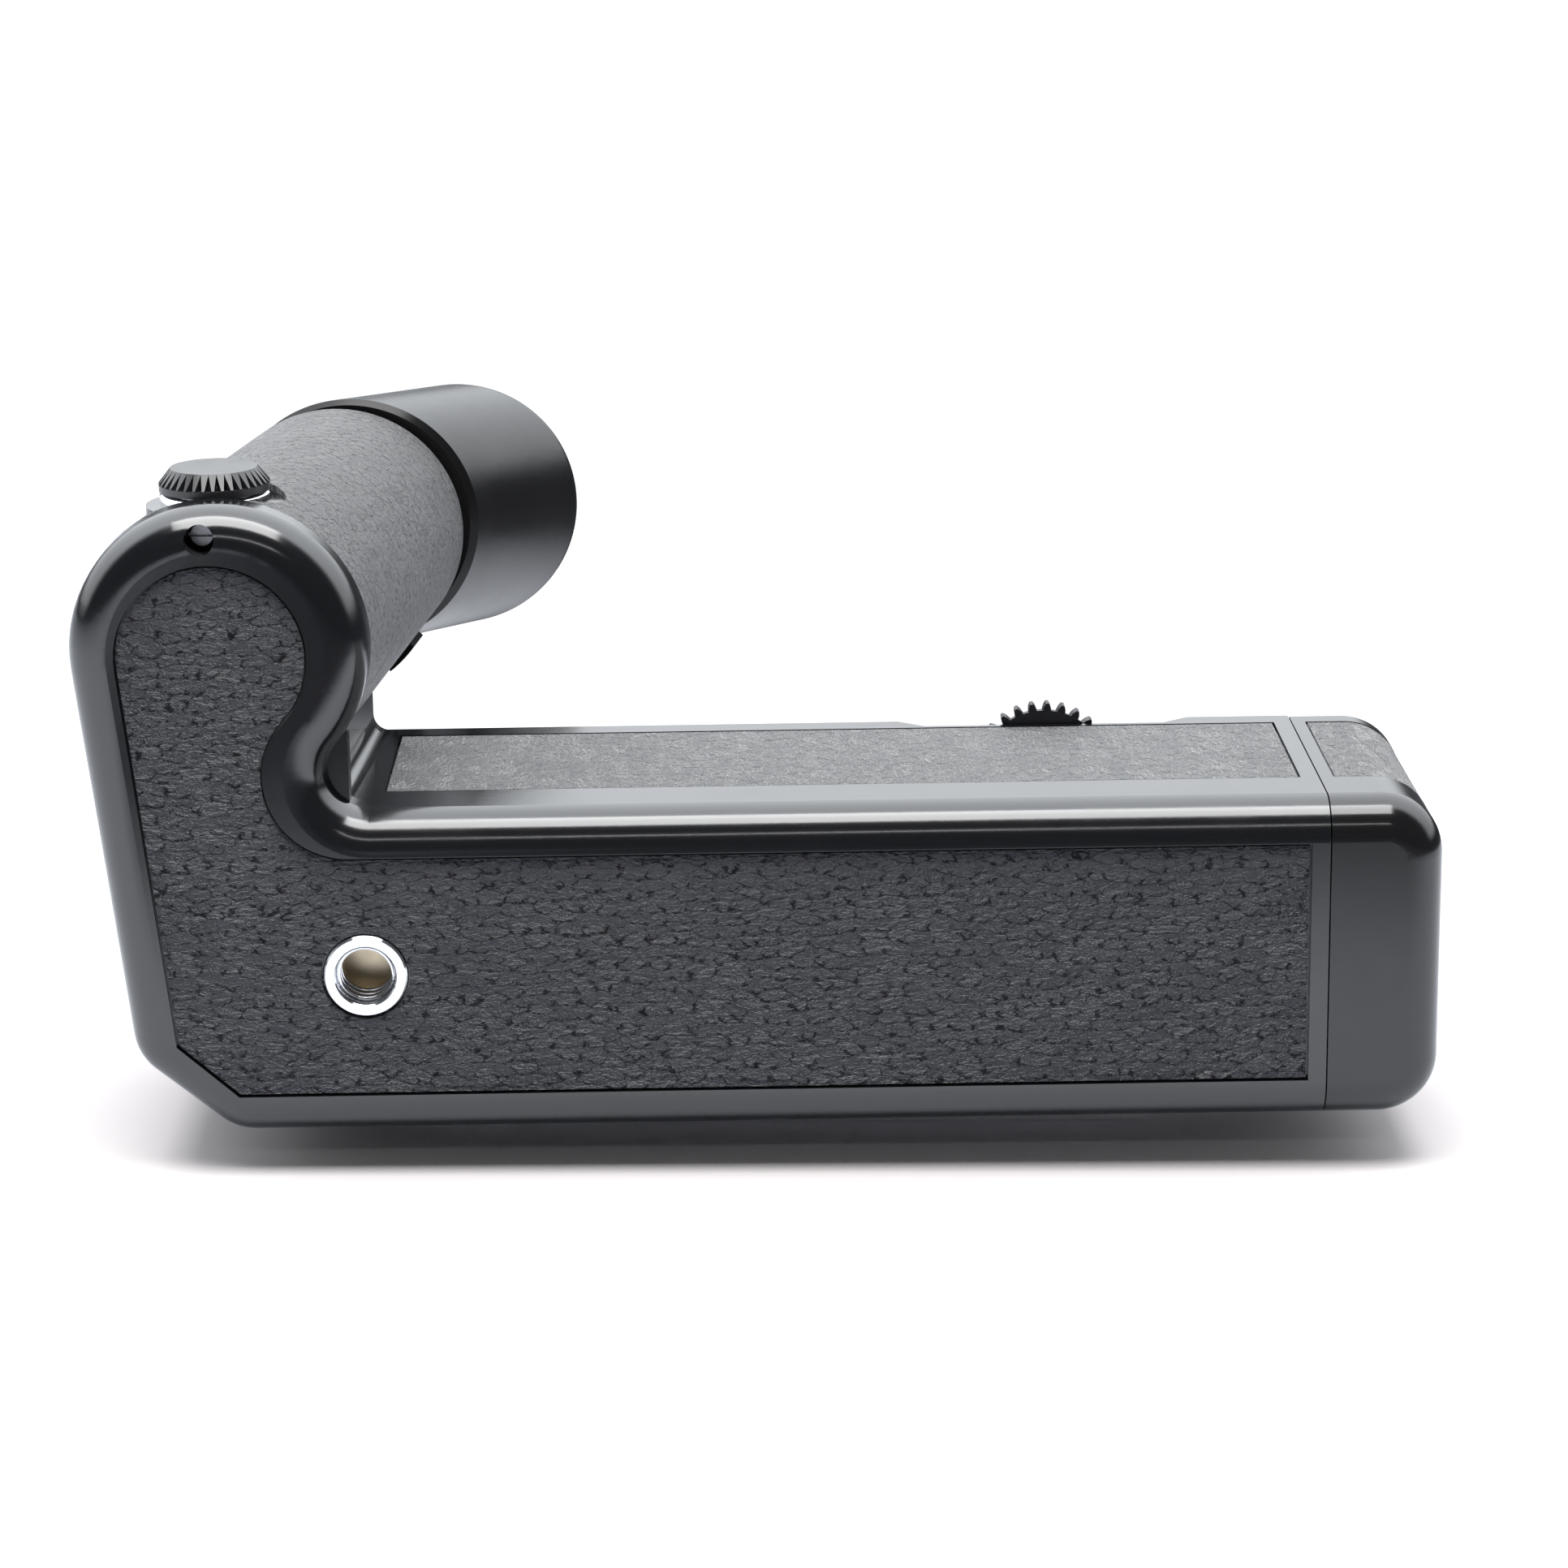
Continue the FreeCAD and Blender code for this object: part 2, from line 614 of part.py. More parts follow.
screw_z = wheel_z - s.wheel_module * (s.wheel_teeth + s.screw_teeth) / 2
gear_distance = s.module_size * (s.gear_teeth + s.pinion_teeth) / 2
side_step = s.train_x - s.coupling_x
second_z = s.coupling_z + root(gear_distance * gear_distance - side_step * side_step)
first_z = second_z + gear_distance
motor_step = s.motor_x - s.train_x
lean_x = s.arm_x - s.low_x
lean_z = s.arm_z - s.low_z
lean = root(lean_x * lean_x + lean_z * lean_z - s.arm_radius * s.arm_radius)
slope = (lean_x * lean - lean_z * s.arm_radius) / (lean_z * lean + lean_x * s.arm_radius)
slope_x = s.low_x + (s.base_depth - s.low_z) * slope
motor_z = first_z + root(gear_distance * gear_distance - motor_step * motor_step)


def arm_outline(sketch, right, rear, front, rear_corner, low, centre, radius, neck):
    """The outline with a round arm: seven sides, joined smoothly at the arc ends."""
    low_point = vector(*low)
    middle = vector(*centre)
    reach = middle - low_point
    slope = math.atan2(reach.y, reach.x) + math.asin(radius.number / reach.Length)
    touch_length = math.sqrt(reach.Length ** 2 - radius.number ** 2)
    left_touch = low_point + FreeCAD.Vector(math.cos(slope), math.sin(slope), 0) * touch_length
    rise = centre[1].number - front.number - neck.number
    across = math.sqrt((radius.number + neck.number) ** 2 - rise ** 2)
    hollow = FreeCAD.Vector(centre[0].number + across, front.number + neck.number, 0)
    to_hollow = hollow - middle
    to_left = left_touch - middle
    arm = Part.Circle(middle, FreeCAD.Vector(0, 0, 1), radius.number)
    start = math.atan2(to_hollow.y, to_hollow.x)
    end = math.atan2(to_left.y, to_left.x) + 2 * math.pi
    corner = Part.Circle(hollow, FreeCAD.Vector(0, 0, 1), neck.number)
    arm_touch = middle + to_hollow * (radius.number / to_hollow.Length)
    front_touch = FreeCAD.Vector(hollow.x, front.number, 0)
    sides = [
        Part.LineSegment(vector(right, rear), vector(rear_corner, rear)),
        Part.LineSegment(vector(rear_corner, rear), low_point),
        Part.LineSegment(low_point, left_touch),
        Part.ArcOfCircle(arm, start, end % (2 * math.pi)),
        Part.ArcOfCircle(corner, start + math.pi, 1.5 * math.pi),
        Part.LineSegment(front_touch, vector(right, front)),
        Part.LineSegment(vector(right, front), vector(right, rear)),
    ]
    for side in sides:
        sketch.addGeometry(side, False)
    for joint in ((0, 2, 1, 1), (1, 2, 2, 1), (5, 2, 6, 1), (6, 2, 0, 1)):
        sketch.addConstraint(Sketcher.Constraint("Coincident", *joint))
    for joint in ((2, 2, 3, 2), (3, 1, 4, 1), (4, 2, 5, 1)):
        sketch.addConstraint(Sketcher.Constraint("Tangent", *joint))
    sketch.addConstraint(Sketcher.Constraint("Horizontal", 5))
    pin(sketch, 0, 1, right, rear)
    pin(sketch, 1, 1, rear_corner, rear)
    pin(sketch, 2, 1, *low)
    pin(sketch, 3, 3, *centre)
    pin(sketch, 5, 2, right, front)
    radius_of(sketch, 3, radius)
    radius_of(sketch, 4, neck)
    return sketch


def tube_at(height):
    """Centre and outer radius of the grip tube at a height above the bottom."""
    share = (size(height) - s.arm_height) / (s.tube_top - s.arm_height)
    x = s.arm_x + (s.tube_top_x - s.arm_x) * share
    z = s.arm_z + (s.tube_top_z - s.arm_z) * share
    radius = s.arm_radius + (s.tube_top_radius - s.arm_radius) * share
    return x, z, radius


def head_at(height):
    """Centre and outer radius of the grip head at a height above the bottom."""
    share = (size(height) - s.head_low) / (head_high - s.head_low)
    x = s.head_x + (s.head_top_x - s.head_x) * share
    z = s.head_z + (s.head_top_z - s.head_z) * share
    radius = s.head_foot_radius + (s.head_radius - s.head_foot_radius) * share
    return x, z, radius


def leaning(name, sections):
    """A leaning round body through circles given as x, height, z and radius."""
    rings = []
    for index, (x, height, z, radius) in enumerate(sections):
        ring = doc.addObject("Part::Circle", f"{name}_ring{index}")
        bind(ring, "Radius", radius)
        place(ring, x, up(height), z, "Y")
        rings.append(ring)
    loft = doc.addObject("Part::Loft", name)
    loft.Sections = rings
    loft.Solid = True
    loft.Ruled = True
    return loft


def tube_part(name, low, high, inset):
    """A stretch of the grip tube, its radius less an inset."""
    sections = []
    for height in (low, high):
        x, z, radius = tube_at(height)
        sections.append((x, height, z, radius - inset))
    return leaning(name, sections)


def head_part(name, low, high, inset):
    """A stretch of the grip head, its radius less an inset."""
    sections = []
    for height in (low, high):
        x, z, radius = head_at(height)
        sections.append((x, height, z, radius - inset))
    return leaning(name, sections)


def at_lug(number):
    """Place of one screw lug of the grip spigot."""
    angle = math.radians((80, 170, 265)[number])
    return s.arm_x + s.lug_circle * math.cos(angle), s.arm_z + s.lug_circle * math.sin(angle)


POSTS = [
    (s.coupling_x - 7.5, s.coupling_z - 10.0),
    (s.coupling_x + 5.5, s.coupling_z - 10.5),
    (s.motor_x + 4.6, motor_z - 3.3),
]
PLATE_SCREWS = [
    (s.chamber_end_x + s.plate_screw_step, s.plate_screw_edge),
    (s.chamber_end_x + s.plate_screw_step, s.base_depth - s.plate_screw_edge),
    (wheel_x - s.middle_screw_step, s.plate_screw_edge),
    (seam_x - s.plate_screw_inset, s.plate_screw_edge),
    (seam_x - s.plate_screw_inset, s.base_depth - s.plate_screw_edge),
    (s.bush_x - 3.9, s.room_rear_z + 3.1),
]
LOCATORS = [(s.locator_x, s.base_depth - s.locator_edge), (s.locator_x, s.locator_edge)]


def window(name):
    """The opening that the gears need between the gear room and the grip."""
    low, high = up(s.window_low), up(s.window_high)
    rear = room_front_z - 3.0
    return box(name, s.window_left_x, s.window_right_x, low, high, rear, s.window_top_z)


def tongue_slot(name, x0, x1, clearance):
    """The space of the latch tongue, widened by a clearance."""
    half = s.tongue_width / 2 + clearance
    return box(name, x0, x1, up(s.latch_y) - half, up(s.latch_y) + half,
               s.skin_recess + 0.25 - clearance, s.skin_recess + s.latch_height - 0.25 + clearance)


def terminal_hole(name, clearance):
    """The round seat's hole through the front of the grip, behind the arm."""
    drill = rod(name + "_drill", s.seat_radius + clearance, BIG, s.terminal_x, up(s.terminal_y),
                s.seat_z - s.seat_height, "Z")
    behind = box(name + "_side", s.terminal_x - BIG, s.terminal_x + BIG,
                 up(s.arm_height), up(s.arm_height + BIG), s.arm_z, s.arm_z + BIG)
    return common(name, [drill, behind])


def base_shell():
    """The cast housing with its arm, web, rooms and recesses."""
    body = new_body("base_shell")
    arm_sketch = new_sketch(body, "arm_outline", "XZ_Plane", -bottom)
    arm_outline(arm_sketch, seam_x, size(0.0), s.base_depth, s.rear_x, (s.low_x, s.low_z),
                (s.arm_x, s.arm_z), s.arm_radius, s.neck_radius)
    pad(body, "arm_pad", arm_sketch, s.arm_height, True)
    wall_sketch = new_sketch(body, "wall_outline", "XZ_Plane", -bottom)
    polygon(wall_sketch, [(seam_x, 0.0), (s.rear_x, 0.0), (s.low_x, s.low_z),
                          (slope_x, s.base_depth), (seam_x, s.base_depth)])
    walls = pad(body, "wall_pad", wall_sketch, s.shell_height, True)
    doc.recompute()
    rear_corner = (s.rear_x.number, 0.0)
    low_corner = (s.low_x.number, s.low_z.number)
    corners = round_edges(body, "left_corners", walls,
                          lambda edge: upright_at(edge, *rear_corner) or upright_at(edge, *low_corner),
                          s.corner_radius)
    seam = seam_x.number
    bezel = round_edges(body, "bezel", corners,
                        lambda edge: same_y(edge, bottom.number) and not same_x(edge, seam),
                        s.bezel_radius)
    web_sketch = new_sketch(body, "web_outline", "XZ_Plane", -up(s.bezel_radius))
    polygon(web_sketch, [(s.web_left_x, s.base_depth - 1.0), (s.web_top_x, s.web_top_z),
                         (s.web_high_x, s.web_top_z), (s.web_high_x, s.base_depth - 1.0)])
    pad(body, "web_pad", web_sketch, s.shell_height - s.bezel_radius, True)
    lean_sketch = new_sketch(body, "web_lean_outline", "XY_Plane", s.base_depth)
    polygon(lean_sketch, [(s.web_low_x, up(s.arm_height)), (s.web_high_x + 1.0, up(s.arm_height)),
                          (s.web_high_x + 1.0, plate_low), (s.web_high_x, plate_low)])
    web_lean = pocket(body, "web_lean", lean_sketch, s.web_top_z, True)
    doc.recompute()
    front = s.base_depth.number
    arm_top = up(s.arm_height).number
    round_edges(body, "web_corner", web_lean,
                lambda edge: leaning_at(edge, front, arm_top, plate_low.number, s.web_low_x.number), s.web_radius)
    chamber_sketch = new_sketch(body, "chamber_outline", "YZ_Plane", seam_x)
    y_low, y_high = up(drawer_y) - chamber_half_y, up(drawer_y) + chamber_half_y
    z_low, z_high = drawer_z - chamber_half_z, drawer_z + chamber_half_z
    polygon(chamber_sketch, [(y_low, z_low), (y_high, z_low), (y_high, z_high), (y_low, z_high)])
    pocket(body, "chamber", chamber_sketch, seam_x - s.chamber_end_x)
    room_sketch = new_sketch(body, "room_outline", "XZ_Plane", -plate_low)
    room_right = s.chamber_end_x - s.chamber_wall
    polygon(room_sketch, [(room_right, s.room_rear_z), (s.room_rear_x, s.room_rear_z),
                          (s.room_left_x, s.room_low_z), (s.room_left_x - 1.8, room_front_z),
                          (room_right, room_front_z)])
    pocket(body, "gear_room", room_sketch, s.shell_height - s.room_floor, True)
    boss_sketch = new_sketch(body, "boss_outline", "XZ_Plane", -up(s.room_floor - 0.5))
    circle(boss_sketch, s.bush_x, s.bush_z, s.bush_radius + s.boss_wall)
    pad(body, "bush_boss", boss_sketch, s.bush_length - s.room_floor + 0.5, True)
    for number, (x, z) in enumerate(POSTS[:2]):
        support = new_sketch(body, f"support{number}", "XZ_Plane", -up(s.room_floor - 0.5))
        circle(support, x, z, s.boss_radius)
        pad(body, f"support_pad{number}", support, s.gear_plate_low - s.room_floor + 0.5, True)
    column = new_sketch(body, "screw_column", "XZ_Plane", -up(s.room_floor - 0.5))
    circle(column, PLATE_SCREWS[5][0], PLATE_SCREWS[5][1], s.plate_screw_head + 0.8)
    pad(body, "screw_column_pad", column, s.shell_height - s.room_floor + 0.5, True)
    arm_room = new_sketch(body, "arm_room_outline", "XZ_Plane", -up(s.arm_height))
    circle(arm_room, s.arm_x, s.arm_z, s.arm_room_radius)
    pocket(body, "arm_room", arm_room, s.arm_height - s.arm_room_floor, True)
    third = new_sketch(body, "support2", "XZ_Plane", -up(s.arm_room_floor - 0.5))
    circle(third, POSTS[2][0], POSTS[2][1], s.boss_radius)
    pad(body, "support_pad2", third, s.gear_plate_low - s.arm_room_floor + 0.5, True)
    skin_sketch = new_sketch(body, "bottom_recess_outline", "XZ_Plane", -bottom)
    panel_outline(skin_sketch, size(0.0))
    pocket(body, "bottom_recess", skin_sketch, seat_depth)
    front_sketch = new_sketch(body, "front_recess_outline", "XY_Plane", s.base_depth)
    polygon(front_sketch, [(s.strip_left_x, up(s.strip_low)), (panel_right_x, up(s.strip_low)),
                           (panel_right_x, up(strip_high)), (s.strip_left_x, up(strip_high))])
    pocket(body, "front_recess", front_sketch, strip_seat)
    rear_sketch = new_sketch(body, "rear_recess_outline", "XY_Plane")
    rear_low, rear_high = up(s.rear_strip_low), up(rear_strip_high)
    rear_right = seam_x - s.rear_strip_margin
    polygon(rear_sketch, [(s.rear_strip_left_x, rear_low), (rear_right, rear_low),
                          (rear_right, rear_high), (s.rear_strip_left_x, rear_high)])
    body.Tip = pocket(body, "rear_recess", rear_sketch, seat_depth, True)

    tools = [
        tube_part("shell_tube_cutter", s.arm_height, s.tube_top, s.skin),
        window("shell_window"),
        rod("bush_drill", s.bush_radius, s.bush_length, s.bush_x, bottom, s.bush_z),
        rod("arm_screw_drill", s.arm_screw_hole, s.arm_screw_depth + 1.2,
            s.arm_screw_x, bottom, s.arm_screw_z),
        rod("arm_screw_shank_drill", s.plate_screw_radius, s.arm_height,
            s.arm_screw_x, up(s.arm_screw_depth), s.arm_screw_z),
        rod("wheel_axle_drill", s.wheel_axle_radius, s.pivot_depth,
            wheel_x, plate_low - s.pivot_depth, wheel_z),
        rod("screw_pivot_drill", s.pivot_radius + s.fit, s.pivot_depth,
            wheel_x, plate_low - s.pivot_depth, screw_z),
    ]
    for number, (x, z) in enumerate(PLATE_SCREWS):
        tools.append(rod(f"shell_screw_drill{number}", s.plate_screw_radius, s.pivot_depth,
                         x, plate_low - s.pivot_depth, z))
    for number in range(3):
        x, z = at_lug(number)
        tools.append(rod(f"lug_head_drill{number}", s.plate_screw_head + 0.1, 1.2,
                         x, up(seat_depth), z))
        tools.append(rod(f"lug_drill{number}", s.plate_screw_radius, s.arm_height,
                         x, up(seat_depth), z))
    for number, (x, z) in enumerate(POSTS):
        tools.append(rod(f"post_screw_drill{number}", s.small_thread, 2.2, x, up(s.gear_plate_low - 2.2), z))
    tools.append(tongue_slot("latch_notch", seam_x - s.tongue_reach - 0.3, seam_x + 1.0, 0.2))
    piece("base_shell", cut("base_shell_cut", body, tools))


def panel_outline(sketch, gap):
    """The bottom leather's outline, drawn in by a gap."""
    return arm_outline(sketch, panel_right_x - gap, s.panel_rear_z + gap, s.panel_front_z - gap,
                       s.panel_rear_x + gap / 2, (s.panel_low_x + gap, s.panel_low_z + gap / 2),
                       (s.panel_arm_x, s.panel_arm_z), s.panel_arm_radius - gap,
                       s.panel_neck_radius + gap)


def top_plate():
    """The plate under the camera, with the finger recess and the holes."""
    body = new_body("top_plate")
    sketch = new_sketch(body, "top_plate_outline", "XZ_Plane", -plate_low)
    web_foot = s.web_left_x + (s.web_top_x - s.web_left_x) / (s.web_top_z - s.base_depth + 1.0)
    polygon(sketch, [(seam_x, 0.0), (s.rear_x, 0.0), (s.low_x, s.low_z), (slope_x, s.base_depth),
                     (web_foot, s.base_depth), (s.web_top_x, s.web_top_z), (s.web_high_x, s.web_top_z),
                     (s.web_high_x, s.base_depth), (seam_x, s.base_depth)])
    plate = pad(body, "top_plate_pad", sketch, s.plate_thickness, True)
    doc.recompute()
    rear_corner = (s.rear_x.number, 0.0)
    low_corner = (s.low_x.number, s.low_z.number)
    web_corner = (s.web_high_x.number, s.base_depth.number)
    corners = round_edges(body, "plate_corners", plate,
                          lambda edge: upright_at(edge, *rear_corner) or upright_at(edge, *low_corner),
                          s.corner_radius)
    round_edges(body, "plate_web_corner", corners, lambda edge: upright_at(edge, *web_corner), s.web_radius)
    recess = new_sketch(body, "finger_recess_outline", "XY_Plane", s.base_depth)
    beyond = s.recess_ramp / s.plate_thickness
    low_half = s.recess_half
    high_half = s.recess_half + s.recess_ramp + beyond
    polygon(recess, [(wheel_x - low_half, plate_low), (wheel_x + low_half, plate_low),
                     (wheel_x + high_half, plate_high + 1.0), (wheel_x - high_half, plate_high + 1.0)])
    body.Tip = pocket(body, "finger_recess", recess, s.recess_depth)
    screw_tip = s.wheel_module * (s.screw_teeth / 2 + 0.75)
    gear_room = s.screw_gear_thickness + 2 * s.wheel_gap
    tools = [
        tube_part("plate_tube_cutter", s.arm_height, s.tube_top, s.skin),
        rod("wheel_room", wheel_tip + s.room_gap, s.plate_thickness, wheel_x, plate_low, wheel_z),
        rod("screw_gear_room", screw_tip + s.room_gap, gear_room, wheel_x, plate_low, screw_z),
        rod("screw_hole", s.thread_radius + s.room_gap, s.plate_thickness, wheel_x, plate_low, screw_z),
        rod("drive_hole", s.dog_radius + s.fit + s.drive_bush_wall, s.plate_thickness,
            s.coupling_x, plate_low, s.coupling_z),
        box("block_hole", s.block_x - s.block_size / 2, s.block_x + s.block_size / 2, plate_low, plate_high,
            block_z - s.block_size / 2, block_z + s.block_size / 2),
        box("web_lowering", s.low_x, s.web_high_x + s.web_radius, plate_high - s.web_step, plate_high + 1.0,
            s.base_depth, s.web_top_z),
    ]
    for number, (x, z) in enumerate(PLATE_SCREWS):
        tools.append(rod(f"plate_drill{number}", s.plate_screw_radius, s.plate_thickness, x, plate_low, z))
        head = doc.addObject("Part::Cone", f"plate_sink{number}")
        bind(head, "Radius1", s.plate_screw_radius)
        bind(head, "Radius2", s.plate_screw_head)
        bind(head, "Height", s.plate_screw_head - s.plate_screw_radius)
        place(head, x, plate_high - (s.plate_screw_head - s.plate_screw_radius), z, "Y")
        tools.append(head)
    for number, (x, z) in enumerate(LOCATORS):
        tools.append(rod(f"locator_drill{number}", s.locator_radius + s.locator_shoulder, s.plate_thickness,
                         x, plate_low, z))
    piece("top_plate", cut("top_plate_cut", body, tools))


def leathers():
    """The recessed leather panels of the base."""
    body = new_body("bottom_leather")
    sketch = new_sketch(body, "bottom_leather_outline", "XZ_Plane", -up(s.skin_recess))
    panel_outline(sketch, s.skin_gap)
    body.Tip = pad(body, "bottom_leather_pad", sketch, s.skin, True)
    hole = rod("bottom_leather_hole", s.bush_flange_radius + 0.15, s.skin + 1.0,
               s.bush_x, bottom, s.bush_z)
    piece("bottom_leather", cut("bottom_leather_cut", body, [hole]))
    front = s.base_depth - s.strip_recess
    piece("front_leather", box("front_leather_sheet", s.strip_left_x + s.skin_gap, panel_right_x - s.skin_gap,
                               up(s.strip_low + s.skin_gap), up(strip_high - s.skin_gap), front - s.skin, front))
    rear_right = seam_x - s.rear_strip_margin - s.skin_gap
    piece("rear_leather", box("rear_leather_sheet", s.rear_strip_left_x + s.skin_gap, rear_right,
                              up(s.rear_strip_low + s.skin_gap), up(rear_strip_high - s.skin_gap),
                              s.skin_recess, s.skin_recess + s.skin))


def tripod_bush():
    """The threaded blind bush that a tripod screws into."""
    flange_top = seat_depth
    profile = [
        (s.thread_radius + s.bush_chamfer, size(0.15)), (s.bush_flange_radius - 0.3, size(0.15)),
        (s.bush_flange_radius, size(0.45)), (s.bush_flange_radius, flange_top),
        (s.bush_radius, flange_top), (s.bush_radius, s.bush_length),
        (size(0.0), s.bush_length), (size(0.0), s.bush_length - s.bush_end),
        (s.thread_radius, s.bush_length - s.bush_end), (s.thread_radius, s.bush_chamfer + 0.15),
    ]
    piece("tripod_bush", turned("tripod_bush", profile, s.bush_x, bottom, s.bush_z))


def grip():
    """The moulded grip tube, its leather and the rest pad."""
    core = tube_part("core_outside", s.arm_height, s.head_low, s.skin)
    bore = tube_part("core_inside", s.arm_height - 1.0, s.head_low + 1.0, s.skin + s.tube_wall)
    spigot_radius = s.arm_room_radius - s.tube_clearance
    spigot = rod("spigot", spigot_radius, s.arm_height - s.arm_room_floor + 0.4,
                 s.arm_x, up(s.arm_room_floor), s.arm_z)
    flange = rod("spigot_flange", s.arm_radius - s.skin - s.tube_wall / 2, s.flange_height,
                 s.arm_x, up(s.arm_height), s.arm_z)
    spigot_bore = rod("spigot_bore", spigot_radius - s.spigot_wall, s.arm_height,
                      s.arm_x, up(s.arm_room_floor - 0.5), s.arm_z)
    hollow = cut("core_tube", core, [bore])
    ring = cut("spigot_ring", fuse("spigot_solid", [spigot, flange]), [spigot_bore])
    lugs = []
    holes = []
    for number in range(3):
        x, z = at_lug(number)
        lugs.append(rod(f"lug{number}", s.lug_radius, s.arm_height - s.arm_room_floor + 0.4,
                        x, up(s.arm_room_floor), z))
        holes.append(rod(f"lug_hole{number}", s.plate_screw_radius, s.arm_height,
                         x, up(s.arm_room_floor - 1.0), z))
    holes.append(window("core_window"))
    holes.append(terminal_hole("core_terminal_hole", 0.0))
    x, z = POSTS[2]
    holes.append(rod("support_clearance", s.boss_radius + 0.2, s.arm_height, x, up(s.arm_room_floor - 1.0), z))
    holes.append(rod("core_arm_screw_hole", s.arm_screw_hole, s.arm_screw_depth - s.arm_room_floor + 2.2,
                     s.arm_screw_x, up(s.arm_room_floor - 1.0), s.arm_screw_z))
    holes.append(rod("core_arm_shank_hole", s.plate_screw_radius + 0.2, s.arm_height,
                     s.arm_screw_x, up(s.arm_room_floor - 1.0), s.arm_screw_z))
    solid = fuse("core_solid", [hollow, ring] + lugs)
    piece("grip_core", cut("grip_core_cut", solid, holes))

    wrap = cut("leather_tube", tube_part("leather_outside", s.arm_height, s.tube_top, 0.0),
               [tube_part("leather_inside", s.arm_height - 1.0, s.tube_top + 1.0, s.skin)])
    web_space = new_body("leather_web_space")
    web_sketch = new_sketch(web_space, "leather_web_outline", "XY_Plane", s.base_depth - 3.0)
    left, above = s.web_left_x - 4.0, plate_high + s.skin_gap
    foot, high = s.web_low_x + s.fit, s.web_high_x + s.fit
    polygon(web_sketch, [(left, bottom), (foot, bottom), (foot, up(s.arm_height)), (high, plate_low),
                         (high, above), (left, above)])
    web_space.Tip = pad(web_space, "leather_web_pad", web_sketch, s.web_top_z + 0.2 - s.base_depth + 3.0)
    piece("grip_leather", cut("grip_leather_cut", wrap,
                              [web_space, terminal_hole("leather_terminal_hole", 0.2)]))

    middle = s.pad_low + s.pad_length / 2
    x, z, radius = tube_at(middle)
    angle = -45.0
    outside = tube_part("pad_outside", s.pad_low, s.pad_low + s.pad_length, -s.pad_height)
    inside = tube_part("pad_inside", s.pad_low - 1.0, s.pad_low + s.pad_length + 1.0, 0.0)
    block = doc.addObject("Part::Box", "pad_block")
    bind(block, "Length", s.tube_top_radius + 6.0)
    bind(block, "Width", s.pad_length)
    bind(block, "Height", s.pad_width)
    turn = FreeCAD.Rotation(FreeCAD.Vector(0, 1, 0), -angle)
    shift = turn.multVec(FreeCAD.Vector(0, 0, -s.pad_width.number / 2))
    block.Placement = FreeCAD.Placement(FreeCAD.Vector(), turn)
    bind(block, "Placement.Base.x", x + shift.x / s.pad_width.number * s.pad_width)
    bind(block, "Placement.Base.y", up(s.pad_low))
    bind(block, "Placement.Base.z", z + shift.z / s.pad_width.number * s.pad_width)
    piece("grip_rest_pad", cut("grip_rest_pad_cut", common("pad_part", [outside, block]), [inside]))


def grip_head():
    """The smooth head of the grip, hollow from below."""
    lip_x, lip_z, lip_radius = head_at(s.head_low + s.head_lip)
    body = fuse("head_outside", [
        leaning("head_lip", [(s.head_x, s.head_low, s.head_z, s.head_foot_radius - s.head_lip),
                             (lip_x, s.head_low + s.head_lip, lip_z, lip_radius)]),
        head_part("head_main", s.head_low + s.head_lip, head_high, 0.0)])
    doc.recompute()
    top = up(head_high).number
    rims = [number for number, edge in enumerate(body.Shape.Edges, start=1) if same_y(edge, top)]
    rounded = doc.addObject("Part::Fillet", "head_rounded")
    rounded.Base = body
    rounded.Edges = [(number, s.head_rounding.number, s.head_rounding.number) for number in rims]
    collar_radius = s.button_radius + s.fit + s.collar_wall
    collar = rod("button_collar", collar_radius, s.collar_height + s.head_roof,
                 s.button_x, up(head_high) - s.head_roof, s.button_z)
    shell = fuse("head_with_collar", [rounded, collar])
    tools = [
        head_part("head_room", s.head_low - 1.0, head_high - s.head_roof, s.head_wall),
        rod("button_hole", s.button_radius + s.fit, BIG, s.button_x, up(head_high) - s.head_roof - 1.0,
            s.button_z),
    ]
    hollow = cut("head_hollow", shell, tools)

    plate_y = switch_plate_y
    inset = s.head_wall + 0.15
    disc = head_part("switch_disc", plate_y, plate_y + s.switch_plate_thickness, inset)
    pillar_x = s.button_x + s.pillar_radius
    bores = [rod(f"switch_screw_hole{number}", s.small_thread, BIG, pillar_x, up(plate_y - 1.0),
                 s.button_z + side * s.pillar_reach) for number, side in enumerate((-1, 1))]
    piece("switch_plate", cut("switch_plate_cut", disc, bores))
    plate_top = up(plate_y + s.switch_plate_thickness)
    roof = up(head_high) - s.head_roof
    pillars = []
    bores = []
    for number, side in enumerate((-1, 1)):
        spot = (pillar_x, plate_top, s.button_z + side * s.pillar_reach)
        pillars.append(rod(f"switch_pillar{number}", s.pillar_radius, roof - plate_top + 0.5, *spot))
        bores.append(rod(f"switch_pillar_bore{number}", s.small_thread, 4.0, *spot))
    piece("grip_head", cut("grip_head_cut", fuse("grip_head_solid", [hollow] + pillars), bores))
    screws = []
    for number, side in enumerate((-1, 1)):
        screws.append(screw(f"switch_screw{number}", s.small_thread, 1.1, 0.8, 4.0, pillar_x,
                            up(plate_y) - 0.8, s.button_z + side * s.pillar_reach, "Y"))
    piece("switch_screws", group("switch_screws_group", screws))
    base = box("switch_base", s.button_x - 4.0, s.button_x + 4.0, up(plate_y - 3.0), up(plate_y),
               s.button_z - 3.0, s.button_z + 3.0)
    dome = rod("switch_dome", 1.5, s.switch_height, s.button_x, plate_top, s.button_z)
    piece("release_switch", group("release_switch_parts", [base, dome]))


